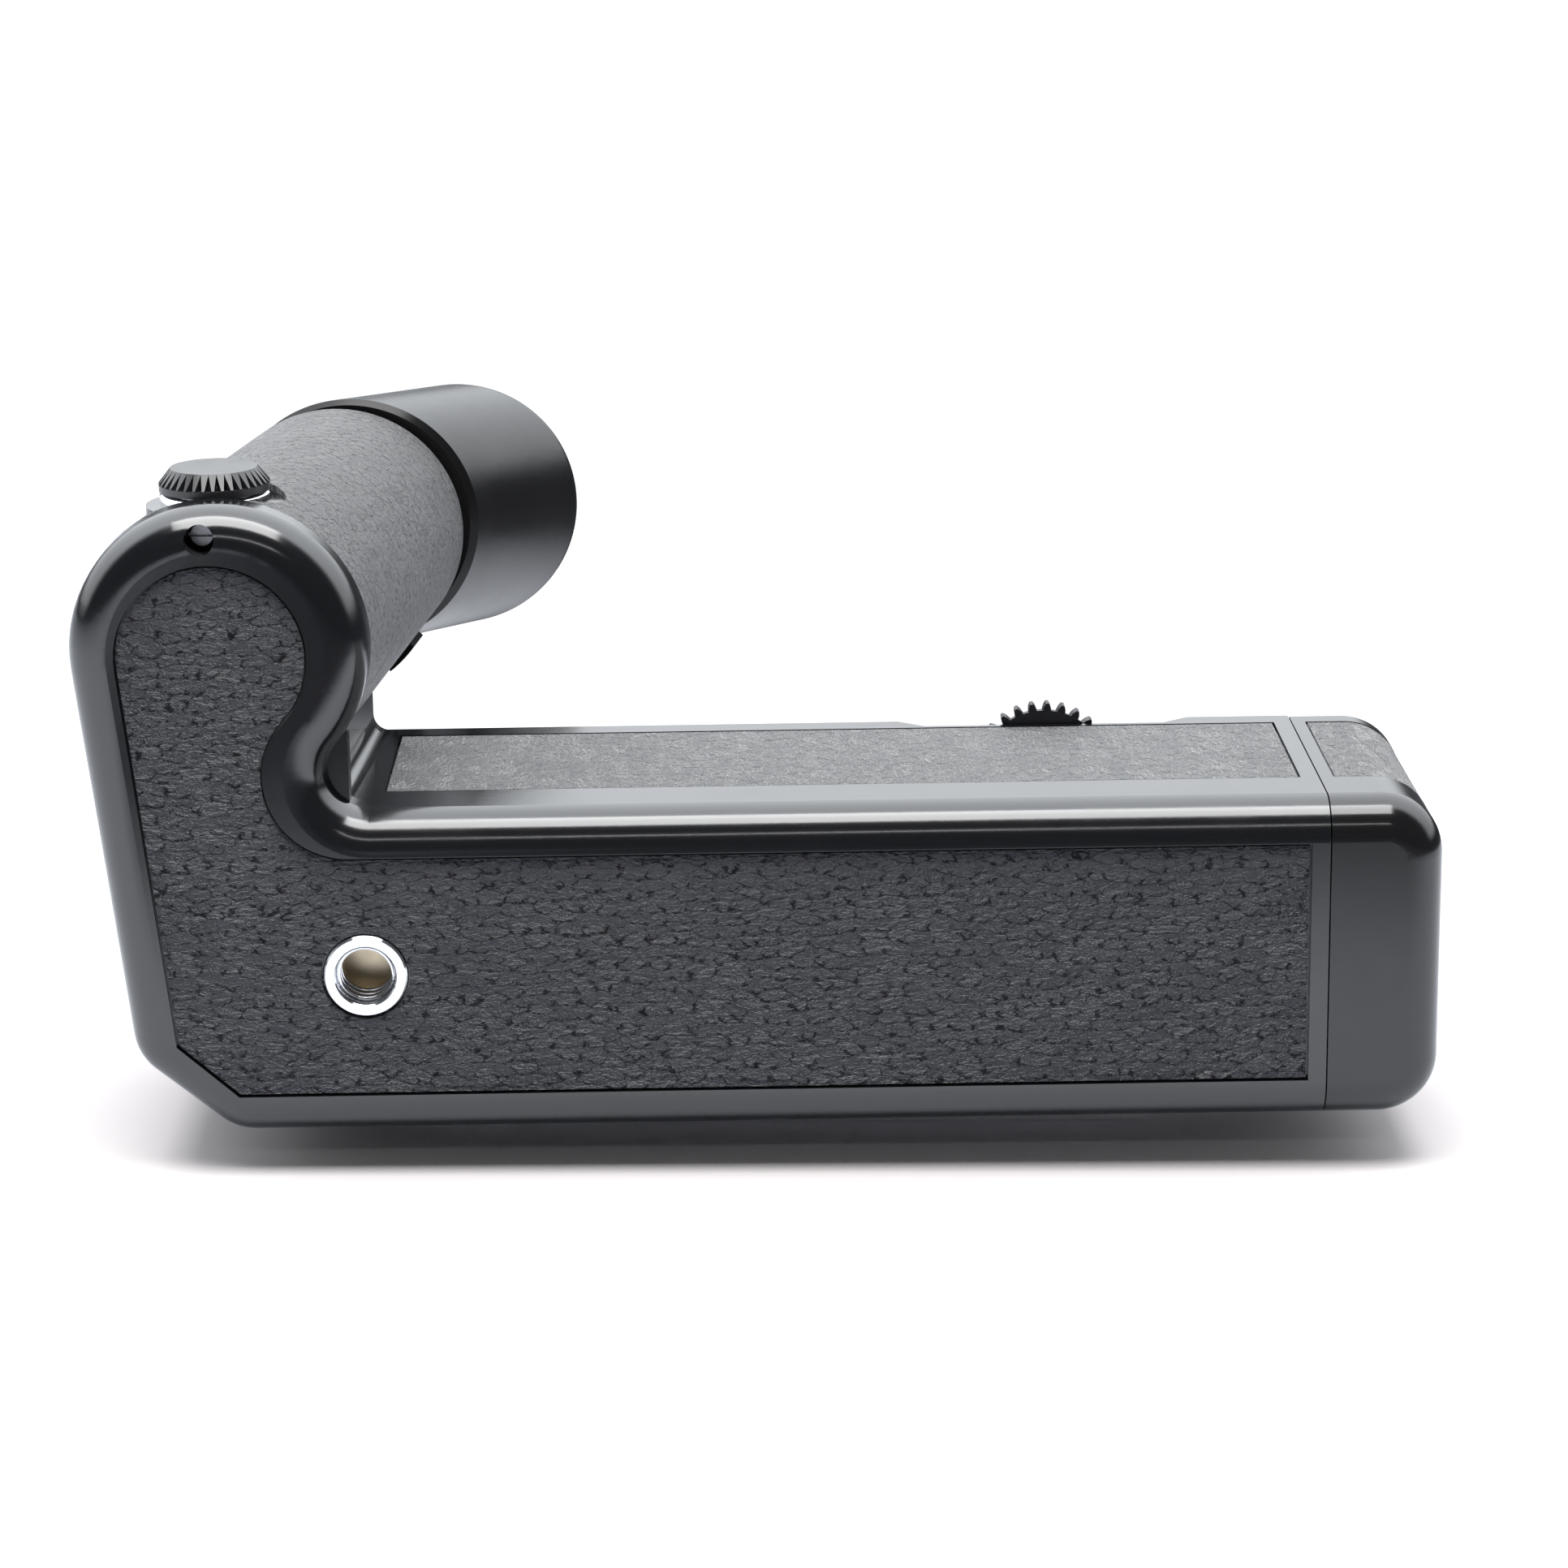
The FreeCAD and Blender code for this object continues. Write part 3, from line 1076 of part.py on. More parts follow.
def screw(name, shank, head, head_height, length, x, y, z, axis, slot=True):
    """A round-headed screw, its head's outer face at the point, its shank along the axis."""
    body = turned(name, [(size(0.0), size(0.0)), (size(head) * 0.8, size(0.0)), (size(head), size(head_height) * 0.4),
                         (size(head), size(head_height)), (size(shank), size(head_height)),
                         (size(shank), size(head_height) + length), (size(0.0), size(head_height) + length)],
                  x, y, z, axis)
    if not slot:
        return body
    groove = new_sketch(body, name + "_slot", "XY_Plane")
    half = size(head) * 0.14
    wide = size(head) * 1.2
    polygon(groove, [(-wide, -half), (wide, -half), (wide, half), (-wide, half)])
    body.Tip = pocket(body, name + "_slot_cut", groove, size(head_height) * 0.5, True)
    return body


def release():
    """The release button, its spring and the mode ring."""
    roof = up(head_high) - s.head_roof
    skirt_top = roof - 0.1
    skirt_low = skirt_top - s.button_skirt_height
    button_top = up(s.overall_height)
    dish = 0.35
    stem_low = up(switch_plate_y + s.switch_plate_thickness + s.switch_height + 0.2 + s.button_travel)
    low = skirt_low
    wide = s.button_radius + s.button_skirt
    profile = [
        (size(0.0), stem_low - low), (s.stem_radius, stem_low - low), (s.stem_radius, size(0.0)),
        (wide, size(0.0)), (wide, s.button_skirt_height), (s.button_radius, s.button_skirt_height),
        (s.button_radius, button_top - low - 0.6), (s.button_radius - 0.6, button_top - low),
        (s.button_radius * 0.6, button_top - low - dish * 0.5), (size(0.0), button_top - low - dish),
    ]
    piece("release_button", turned("release_button", profile, s.button_x, low, s.button_z))

    plate_top = up(switch_plate_y + s.switch_plate_thickness)
    length = skirt_low - plate_top - 2 * s.spring_wire - 0.2
    spring_low = plate_top + s.spring_wire + 0.1
    helix = doc.addObject("Part::Helix", "button_spring_helix")
    bind(helix, "Radius", s.spring_radius)
    bind(helix, "Height", length)
    bind(helix, "Pitch", length / s.spring_turns)
    place(helix, s.button_x, spring_low, s.button_z, "Y")
    section = doc.addObject("Part::RegularPolygon", "button_spring_wire")
    section.Polygon = 8
    bind(section, "Circumradius", s.spring_wire)
    place(section, s.button_x + s.spring_radius, spring_low, s.button_z)
    spring = doc.addObject("Part::Sweep", "button_spring_sweep")
    spring.Sections = [section]
    spring.Spine = (helix, ["Edge1"])
    spring.Solid = True
    spring.Frenet = True
    piece("button_spring", spring)

    inner = s.button_radius + s.fit + s.collar_wall + s.fit
    outer = inner + s.ring_width
    height = s.ring_height
    base_y = up(head_high) + s.ring_clearance
    ring = turned("mode_ring", [(inner, size(0.0)), (outer, size(0.0)), (outer, height - 0.4),
                                (outer - 0.4, height), (inner, height)],
                  s.button_x, base_y, s.button_z)
    tab = box("mode_tab", s.button_x - s.tab_width / 2, s.button_x + s.tab_width / 2, base_y,
              base_y + height, s.button_z + outer - 0.8, s.button_z + outer + s.tab_length)
    mark = box("mode_mark", s.button_x - 0.25, s.button_x + 0.25, base_y + height - 0.25,
               base_y + height + 1.0, s.button_z + inner + 0.4, s.button_z + outer + s.tab_length - 0.5)
    piece("mode_ring", cut("mode_ring_cut", fuse("mode_ring_solid", [ring, tab]), [mark]))


def terminal():
    """The remote terminal on the front of the grip, with its screw cap."""
    x, y = s.terminal_x, up(s.terminal_y)
    seat = rod("seat_disc", s.seat_radius, s.seat_height, x, y, s.seat_z - s.seat_height, "Z")
    behind = box("seat_side", x - BIG, x + BIG, up(s.arm_height) + 0.1, up(s.arm_height + BIG), s.arm_z,
                 s.arm_z + BIG)
    bores = [rod("seat_bore", s.socket_radius, s.seat_height, x, y, s.seat_z - s.seat_height, "Z"),
             rod("seat_screw_bore", s.plate_screw_radius, 2.0, s.arm_screw_x, up(s.arm_height), s.arm_screw_z)]
    piece("terminal_seat", cut("terminal_seat_cut", common("seat_part", [seat, behind]), bores))
    flange = s.ring_flange_height
    collar = flange + s.thread_collar_height
    ring = turned("terminal_ring", [(s.socket_radius, size(0.0)), (s.ring_flange_radius, size(0.0)),
                                    (s.ring_flange_radius, flange - 0.2), (s.ring_flange_radius - 0.2, flange),
                                    (s.thread_collar_radius, flange), (s.thread_collar_radius, collar),
                                    (s.socket_radius, collar)], x, y, s.seat_z, "Z")
    piece("terminal_ring", ring)
    core = rod("insulator_disc", s.socket_radius, collar - 0.8 + 1.4, x, y, s.seat_z - 1.4, "Z")
    pins = []
    holes = []
    for number in range(3):
        angle = math.radians(90 + 120 * number)
        pin_x, pin_y = x + 2.1 * math.cos(angle), y + 2.1 * math.sin(angle)
        pins.append(rod(f"terminal_pin{number}", 0.45, collar - 0.3 + 2.4, pin_x, pin_y, s.seat_z - 2.4, "Z"))
        holes.append(rod(f"terminal_pin_hole{number}", 0.45, BIG, pin_x, pin_y, s.seat_z - 3.0, "Z"))
    piece("terminal_insulator", cut("terminal_insulator_cut", core, holes))
    piece("terminal_pins", group("terminal_pins_group", pins))

    lift = s.seat_z + flange + 0.25
    inner = s.thread_collar_radius + s.cap_thread_gap
    body = turned("terminal_cap", [
        (inner, size(0.0)), (s.cap_radius, size(0.0)), (s.cap_radius, s.cap_height * 0.35),
        (s.cap_flat_radius, s.cap_height), (size(0.0), s.cap_height), (size(0.0), s.cap_height - s.cap_roof),
        (inner, s.cap_height - s.cap_roof)], x, y, lift, "Z")
    pitch = 2 * math.pi * s.cap_radius / s.cap_teeth
    valley = new_sketch(body, "valley", "XY_Plane", s.cap_height * 0.3)
    polygon(valley, [(s.cap_flat_radius, 0.0), (s.cap_radius + 0.3, -pitch * 0.46),
                     (s.cap_radius + 0.3, pitch * 0.46)])
    groove = pocket(body, "valley_cut", valley, s.cap_height, True)
    repeat(body, "serrations", groove, s.cap_teeth)
    piece("terminal_cap", body)
    liner_top = lift + s.cap_height - s.cap_roof
    piece("terminal_cap_seal", rod("seal_disc", inner - 0.15, s.liner_thickness, x, y,
                                   liner_top - s.liner_thickness, "Z"))


def toothed(name, teeth, module, low, height, x, z, phase):
    """A spur gear with straight-sided teeth: its root disc and one tooth, repeated."""
    pitch_radius = module * teeth / 2
    root_radius = pitch_radius - 1.15 * module
    tip_radius = pitch_radius + 0.75 * module
    body = new_body(name)
    disc = new_sketch(body, name + "_disc", "XY_Plane")
    circle(disc, 0.0, 0.0, root_radius)
    pad(body, name + "_blank", disc, height)
    tooth = new_sketch(body, name + "_tooth_outline", "XY_Plane")
    foot, waist, tip = 1.0 * module, 0.7 * module, 0.3 * module
    polygon(tooth, [(root_radius - 0.3 * module, -foot), (pitch_radius, -waist), (tip_radius, -tip),
                    (tip_radius, tip), (pitch_radius, waist), (root_radius - 0.3 * module, foot)])
    one = pad(body, name + "_tooth", tooth, height)
    repeat(body, name + "_teeth", one, teeth)
    return place(body, x, up(low), z, "Y", phase)


def drilled(name, parts, radius, x, z):
    """Parts on one upright axis, joined and bored through."""
    solid = fuse(name + "_joined", parts) if len(parts) > 1 else parts[0]
    return cut(name + "_bored", solid, [rod(name + "_bore", radius, s.overall_height, x, bottom, z)])


def meshing_phase(first, phase, teeth, second, other_teeth):
    """Turn in degrees that puts a gap of the second gear on a tooth of the first."""
    across = (second[0] - first[0]).number
    rise = (second[1] - first[1]).number
    direction = math.degrees(math.atan2(-rise, across))
    share = (direction - phase) * teeth.number / 360.0
    return direction + 180.0 - (0.5 - share) * 360.0 / other_teeth.number


def camera_screw():
    """The thumbwheel and the geared screw that it turns."""
    wheel_spot = (wheel_x, wheel_z)
    screw_spot = (wheel_x, screw_z)
    low = s.shell_height + s.wheel_gap
    phase = -86.8
    hub = rod("wheel_hub", s.wheel_hub_radius, s.wheel_hub_height, wheel_x, up(low), wheel_z)
    rim = toothed("wheel_rim", s.wheel_teeth, s.wheel_module, low + s.wheel_hub_height,
                  s.wheel_thickness - s.wheel_hub_height, wheel_x, wheel_z, phase)
    piece("thumbwheel", drilled("thumbwheel", [hub, rim], s.wheel_axle_radius + s.fit, *wheel_spot))
    screw_phase = meshing_phase(wheel_spot, phase, s.wheel_teeth, screw_spot, s.screw_teeth)
    gear = toothed("screw_rim", s.screw_teeth, s.wheel_module, low, s.screw_gear_thickness,
                   wheel_x, screw_z, screw_phase)
    shank = s.thread_radius - s.fit
    neck = shank - s.thread_relief
    base = plate_low - s.pivot_depth + s.fit
    foot = s.pivot_depth + s.wheel_gap - s.fit
    top = plate_high + s.screw_reach - base
    thread_low = plate_high + s.thread_relief - base
    stem = turned("camera_screw_stem", [
        (size(0.0), size(0.0)), (s.pivot_radius, size(0.0)), (s.pivot_radius, foot), (neck, foot),
        (neck, thread_low), (shank, thread_low), (shank, top - s.screw_lead), (shank - s.screw_lead, top),
        (size(0.0), top)], wheel_x, base, screw_z)
    piece("camera_screw", fuse("camera_screw_solid", [gear, stem]))
    axle_low = plate_low - s.pivot_depth
    neck = s.pivot_depth + s.wheel_thickness + 2 * s.wheel_gap
    piece("thumbwheel_axle", turned("thumbwheel_axle", [
        (size(0.0), size(0.0)), (s.wheel_axle_radius, size(0.0)), (s.wheel_axle_radius, neck),
        (s.wheel_axle_head, neck), (s.wheel_axle_head, neck + s.wheel_head_height),
        (size(0.0), neck + s.wheel_head_height)], wheel_x, axle_low, wheel_z))


def gear_train():
    """Gear plates, posts, axles, the two reduction gears and the drive coupling."""
    motor_spot = (s.motor_x, motor_z)
    first_spot = (s.train_x, first_z)
    second_spot = (s.train_x, second_z)
    last_spot = (s.coupling_x, s.coupling_z)
    layers = [s.layer_one, s.layer_one + s.layer_pitch, s.layer_one + 2 * s.layer_pitch]
    small, large, module = s.pinion_teeth, s.gear_teeth, s.module_size
    hub_low = s.gear_plate_low + s.gear_plate + s.end_play
    hub_length = s.gear_plate_high - s.end_play - hub_low
    step = s.layer_pitch
    height = s.layer_height

    motor_phase = 0.0
    first_phase = meshing_phase(motor_spot, motor_phase, small, first_spot, large)
    second_phase = meshing_phase(first_spot, 0.0, small, second_spot, large)
    last_phase = meshing_phase(second_spot, 0.0, small, last_spot, large)
    pinion = toothed("motor_pinion_rim", small, module, layers[0], height, *motor_spot, motor_phase)
    piece("motor_pinion", drilled("motor_pinion", [pinion], s.shaft_radius, *motor_spot))
    for number, spot, phase in ((1, first_spot, first_phase), (2, second_spot, second_phase)):
        low = layers[number - 1]
        wheel = toothed(f"wheel{number}", large, module, low, height, *spot, phase)
        leaf = toothed(f"leaf{number}", small, module, low + height, step, *spot, 0.0)
        hub = rod(f"hub{number}", s.hub_radius, hub_length, spot[0], up(hub_low), spot[1])
        name = ("first", "second")[number - 1] + "_reduction_gear"
        piece(name, drilled(name, [wheel, leaf, hub], s.axle_radius + s.fit, *spot))
    last = toothed("last_wheel", large, module, layers[2], height, *last_spot, last_phase)
    piece("coupling_gear", drilled("coupling_gear", [last], s.coupling_shaft_radius, *last_spot))

    pivot = 1.2
    foot = up(s.gear_plate_low)
    shoulder = hub_low - s.gear_plate_low
    neck = plate_low - 2.0 - foot
    top = plate_high + 0.1 - foot
    shaft = turned("coupling_shaft", [
        (size(0.0), size(0.0)), (size(pivot), size(0.0)), (size(pivot), shoulder),
        (s.coupling_shaft_radius, shoulder), (s.coupling_shaft_radius, neck), (s.dog_radius, neck),
        (s.dog_radius, top), (size(0.0), top)], s.coupling_x, foot, s.coupling_z)
    reach = s.dog_radius - 0.4
    tongue = box("coupling_tongue", s.coupling_x - reach, s.coupling_x + reach, plate_high,
                 plate_high + s.dog_reach, s.coupling_z - s.dog_tongue / 2, s.coupling_z + s.dog_tongue / 2)
    piece("drive_coupling", fuse("drive_coupling_solid", [shaft, tongue]))
    bore = s.dog_radius + s.fit
    barrel = bore + s.drive_bush_wall
    piece("drive_bush", turned("drive_bush", [
        (bore, size(0.0)), (barrel + 1.0, size(0.0)), (barrel + 1.0, size(1.0)), (barrel, size(1.0)),
        (barrel, s.plate_thickness + 1.0), (bore, s.plate_thickness + 1.0)],
        s.coupling_x, plate_low - 1.0, s.coupling_z))

    left = POSTS[0][0] - 1.6
    right = s.window_right_x - 0.4
    rear = POSTS[1][1] - 1.6
    plates = ((s.gear_plate_low, motor_z - 1.4, "lower"), (s.gear_plate_high, motor_z + 9.9, "upper"))
    for low, front, name in plates:
        sheet_metal = box(f"{name}_plate_sheet", left, right, up(low), up(low + s.gear_plate), rear, front)
        holes = []
        for number, spot in enumerate((first_spot, second_spot)):
            holes.append(rod(f"{name}_axle_hole{number}", s.axle_radius, s.gear_plate,
                             spot[0], up(low), spot[1]))
        shaft_hole = size(pivot) if name == "lower" else s.coupling_shaft_radius
        holes.append(rod(f"{name}_coupling_hole", shaft_hole + s.fit, s.gear_plate,
                         s.coupling_x, up(low), s.coupling_z))
        for number, (x, z) in enumerate(POSTS):
            reach = 0.6 if name == "lower" else 1.15
            holes.append(rod(f"{name}_post_hole{number}", reach, s.gear_plate, x, up(low), z))
        if name == "upper":
            holes.append(rod("motor_shaft_hole", s.shaft_radius + 0.6, s.gear_plate,
                             s.motor_x, up(low), motor_z))
        piece(f"{name}_gear_plate", cut(f"{name}_plate_cut", sheet_metal, holes))
    posts = []
    screws = []
    span = s.gear_plate_high - s.gear_plate_low - s.gear_plate
    for number, (x, z) in enumerate(POSTS):
        column = rod(f"post_rod{number}", s.post_radius, span, x, up(s.gear_plate_low + s.gear_plate), z)
        bore = rod(f"post_bore{number}", 0.6, span, x, up(s.gear_plate_low + s.gear_plate), z)
        posts.append(cut(f"post{number}", column, [bore]))
        length = s.gear_plate_high - s.gear_plate_low + 2.0
        screws.append(screw(f"gearbox_screw{number}", 0.6, 1.1, s.gear_plate - 0.05, length, x,
                            up(s.gear_plate_high + s.gear_plate - 0.05), z, "-Y", False))
    piece("gear_plate_posts", group("gear_plate_posts_group", posts))
    piece("gearbox_screws", group("gearbox_screws_group", screws))
    axles = [rod(f"axle{number}", s.axle_radius, s.gear_plate_high + s.gear_plate - s.gear_plate_low,
                 spot[0], up(s.gear_plate_low), spot[1]) for number, spot in enumerate((first_spot, second_spot))]
    piece("gear_axles", group("gear_axles_group", axles))


def motor():
    """The motor in the grip: can, magnets, end bell and rotor."""
    foot = up(s.gear_plate_high + s.gear_plate)
    inside = s.motor_radius - s.motor_wall
    bearing = s.shaft_radius + s.fit
    piece("motor_can", turned("motor_can", [
        (bearing, size(0.0)), (s.motor_radius - 0.5, size(0.0)), (s.motor_radius, size(0.5)),
        (s.motor_radius, s.motor_length), (inside, s.motor_length), (inside, s.motor_wall),
        (bearing, s.motor_wall)], s.motor_x, foot, motor_z))
    bell_low = s.motor_length - s.bell_height
    piece("motor_end_bell", turned("motor_end_bell", [
        (bearing, bell_low), (inside, bell_low), (inside, s.motor_length), (inside - 2.0, s.motor_length),
        (inside - 2.5, s.motor_length + 0.6), (bearing, s.motor_length + 0.6)],
        s.motor_x, foot, motor_z))
    magnet = inside - s.magnet_thickness
    start, stop = s.motor_wall + 2.0, bell_low - 4.0
    ring = turned("magnet_ring", [(magnet, start), (inside, start), (inside, stop), (magnet, stop)],
                  s.motor_x, foot, motor_z)
    gap = box("magnet_gap", s.motor_x - s.motor_radius, s.motor_x + s.motor_radius, foot,
              foot + s.motor_length, motor_z - 1.5, motor_z + 1.5)
    piece("motor_magnets", cut("motor_magnets_cut", ring, [gap]))
    shaft_low = s.layer_one - s.gear_plate_high - s.gear_plate - 0.2
    piece("motor_rotor", turned("motor_rotor", [
        (size(0.0), shaft_low), (s.shaft_radius, shaft_low), (s.shaft_radius, start), (s.rotor_radius, start),
        (s.rotor_radius, stop), (size(2.4), stop), (size(2.4), bell_low - 0.6),
        (s.shaft_radius, bell_low - 0.6), (s.shaft_radius, s.motor_length + 1.4),
        (size(0.0), s.motor_length + 1.4)], s.motor_x, foot, motor_z))


def electrics():
    """Circuit board, contact block, chamber contacts."""
    side = s.board_x
    board = box("board_sheet", side, side + s.board_thickness, up(s.board_low), up(s.board_high),
                s.room_rear_z + 0.1, room_front_z - 0.1)
    piece("circuit_board", board)
    parts = []
    blocks = ((1.8, 13.0, 20.0, 21.5, 30.5), (3.6, 12.0, 17.0, 9.5, 15.5), (3.6, 18.0, 23.0, 9.5, 15.5),
              (1.2, 22.0, 26.0, 20.5, 24.5), (1.2, 22.0, 26.0, 26.5, 30.5))
    for number, (rise, low, high, rear, front) in enumerate(blocks):
        parts.append(box(f"board_part{number}", side - rise, side, up(size(low)), up(size(high)),
                         size(rear), size(front)))
    for number, height in enumerate((14.5, 20.0)):
        parts.append(rod(f"capacitor{number}", 1.5, 2.3, side, up(size(height)), size(6.0), "-X"))
    piece("board_components", group("board_components_group", parts))

    half = s.block_size / 2
    top = plate_high + 0.35
    core = box("block_core", s.block_x - half, s.block_x + half, plate_low - 2.8, top,
               block_z - half, block_z + half)
    rim = box("block_rim", s.block_x - half - 0.9, s.block_x + half + 0.9, plate_low - 1.0, plate_low,
              block_z - half - 0.9, block_z + half + 0.9)
    holes = []
    springs = []
    hole_low = plate_low - 2.3
    pin_low = hole_low + s.pin_travel + 0.9
    pin_top = top + 0.8
    for number in range(3):
        x = s.block_x + (number - 1) * s.pin_pitch
        holes.append(rod(f"contact_hole{number}", s.pin_radius + s.fit, 10.0, x, hole_low, block_z))
        length = pin_top - pin_low
        piece(f"contact_pin_{number + 1}", turned(f"contact_pin_{number + 1}", [
            (size(0.0), size(0.0)), (s.pin_radius, size(0.0)), (s.pin_radius, length - 0.3),
            (s.pin_radius * 0.5, length), (size(0.0), length)], x, pin_low, block_z))
        springs.append(rod(f"contact_spring{number}", s.pin_radius - 0.15, pin_low - hole_low,
                           x, hole_low, block_z))
    piece("contact_block", cut("contact_block_cut", fuse("contact_block_solid", [core, rim]), holes))
    piece("contact_pin_springs", group("contact_pin_springs_group", springs))

    face = s.chamber_end_x + s.contact_board
    middle = up(drawer_y)
    half_y, half_z = chamber_half_y - 0.1, chamber_half_z - 0.1
    piece("battery_contact_board", box("contact_board_sheet", s.chamber_end_x, face, middle - half_y,
                                       middle + half_y, drawer_z - half_z, drawer_z + half_z))
    thick = s.leaf_sheet
    far, near, flat = s.leaf_half, s.leaf_half - s.leaf_foot, s.leaf_top
    leaves = []
    for number, shift in enumerate((-cell_z, cell_z)):
        body = new_body(f"leaf_spring{number}")
        sketch = new_sketch(body, f"leaf_outline{number}", "XY_Plane", drawer_z + shift - s.leaf_width / 2)
        polygon(sketch, [(face, middle - far), (face, middle - near), (spring_tip - thick, middle - flat),
                         (spring_tip - thick, middle + flat), (face, middle + near), (face, middle + far),
                         (face + thick, middle + far), (face + thick, middle + near + thick),
                         (spring_tip, middle + flat + 0.1), (spring_tip, middle - flat - 0.1),
                         (face + thick, middle - near - thick), (face + thick, middle - far)])
        body.Tip = pad(body, f"leaf_pad{number}", sketch, s.leaf_width)
        leaves.append(body)
    piece("battery_leaf_springs", group("battery_leaf_springs_group", leaves))


def battery_drawer():
    """The holder frame with its eight cells and their contacts."""
    middle_y, middle_z = up(drawer_y), drawer_z
    inner_face = cells_low - s.contact_strip
    inner = box("drawer_inner_plate", inner_face - s.end_plate, inner_face, middle_y - drawer_half_y,
                middle_y + drawer_half_y, middle_z - drawer_half_z, middle_z + drawer_half_z)
    outer_face = cells_high + s.contact_strip
    body = new_body("drawer_outer_plate")
    sketch = new_sketch(body, "drawer_outer_outline", "XZ_Plane", drawer_half_y - middle_y)
    wide = drawer_half_z - s.rail_inset
    narrow = wide - 2.6
    polygon(sketch, [(outer_face, middle_z - wide), (outer_face + s.end_plate, middle_z - narrow),
                     (outer_face + s.end_plate, middle_z + narrow), (outer_face, middle_z + wide)])
    body.Tip = pad(body, "drawer_outer_pad", sketch, 2 * drawer_half_y, True)
    length = outer_face - inner_face
    parts = [inner, body, rod("drawer_spar", s.spar_radius, length, inner_face, middle_y, middle_z, "X")]
    w = s.rail_width / 2
    a, b = wide - s.rail_thickness, wide
    d = drawer_half_y - s.rail_inset
    c = d - s.rail_thickness
    rails = [(-w, w, a, b), (-w, w, -b, -a), (c, d, -w, w), (-d, -c, -w, w)]
    for number, (y0, y1, z0, z1) in enumerate(rails):
        parts.append(box(f"drawer_rail{number}", inner_face, outer_face, middle_y + y0, middle_y + y1,
                         middle_z + z0, middle_z + z1))
    studs = []
    holes = []
    for number, side in enumerate((-1, 1)):
        spot = (inner_face - s.end_plate, middle_y, middle_z + side * cell_z)
        studs.append(rod(f"drawer_stud{number}", s.drawer_stud, s.end_plate, *spot, "X"))
        holes.append(rod(f"drawer_stud_hole{number}", s.drawer_stud, s.end_plate, *spot, "X"))
    piece("battery_holder", cut("battery_holder_cut", fuse("battery_holder_solid", parts), holes))
    strips = []
    for number, side in enumerate((-1, 1)):
        z0 = middle_z + side * cell_z - s.strip_width / 2
        reach_y, reach_z = drawer_half_y - s.strip_inset, drawer_half_z - s.strip_inset
        strips.append(box(f"inner_strip{number}", inner_face, cells_low, middle_y - reach_y, middle_y + reach_y,
                          z0, z0 + s.strip_width))
        y0 = middle_y + side * cell_y - s.strip_width / 2
        strips.append(box(f"outer_strip{number}", cells_high, outer_face, y0, y0 + s.strip_width,
                          middle_z - reach_z, middle_z + reach_z))
    spar_hole = rod("strip_spar_hole", s.spar_radius, length + 2.0, inner_face - 1.0, middle_y, middle_z, "X")
    tidy = [cut(f"strip{number}", strip, [spar_hole]) for number, strip in enumerate(strips)]
    piece("battery_contacts", group("battery_contacts_group", tidy + studs))
    cells = []
    can = cell_length - s.stud_height
    edge = s.cell_edge
    for number in range(8):
        lengthwise, high, front = number // 4, (number // 2) % 2, number % 2
        flip = (high + front) % 2
        start = cells_low + lengthwise * cell_length
        profile = [(size(0.0), size(0.0)), (cell_radius - edge, size(0.0)), (cell_radius, edge),
                   (cell_radius, can - edge), (cell_radius - edge, can), (s.stud_radius, can),
                   (s.stud_radius, cell_length), (size(0.0), cell_length)]
        x = start + cell_length if flip else start
        cells.append(turned(f"cell{number}", profile, x, middle_y + (2 * high - 1) * cell_y,
                            middle_z + (2 * front - 1) * cell_z, "-X" if flip else "X"))
    piece("aa_cells", group("aa_cells_group", cells))


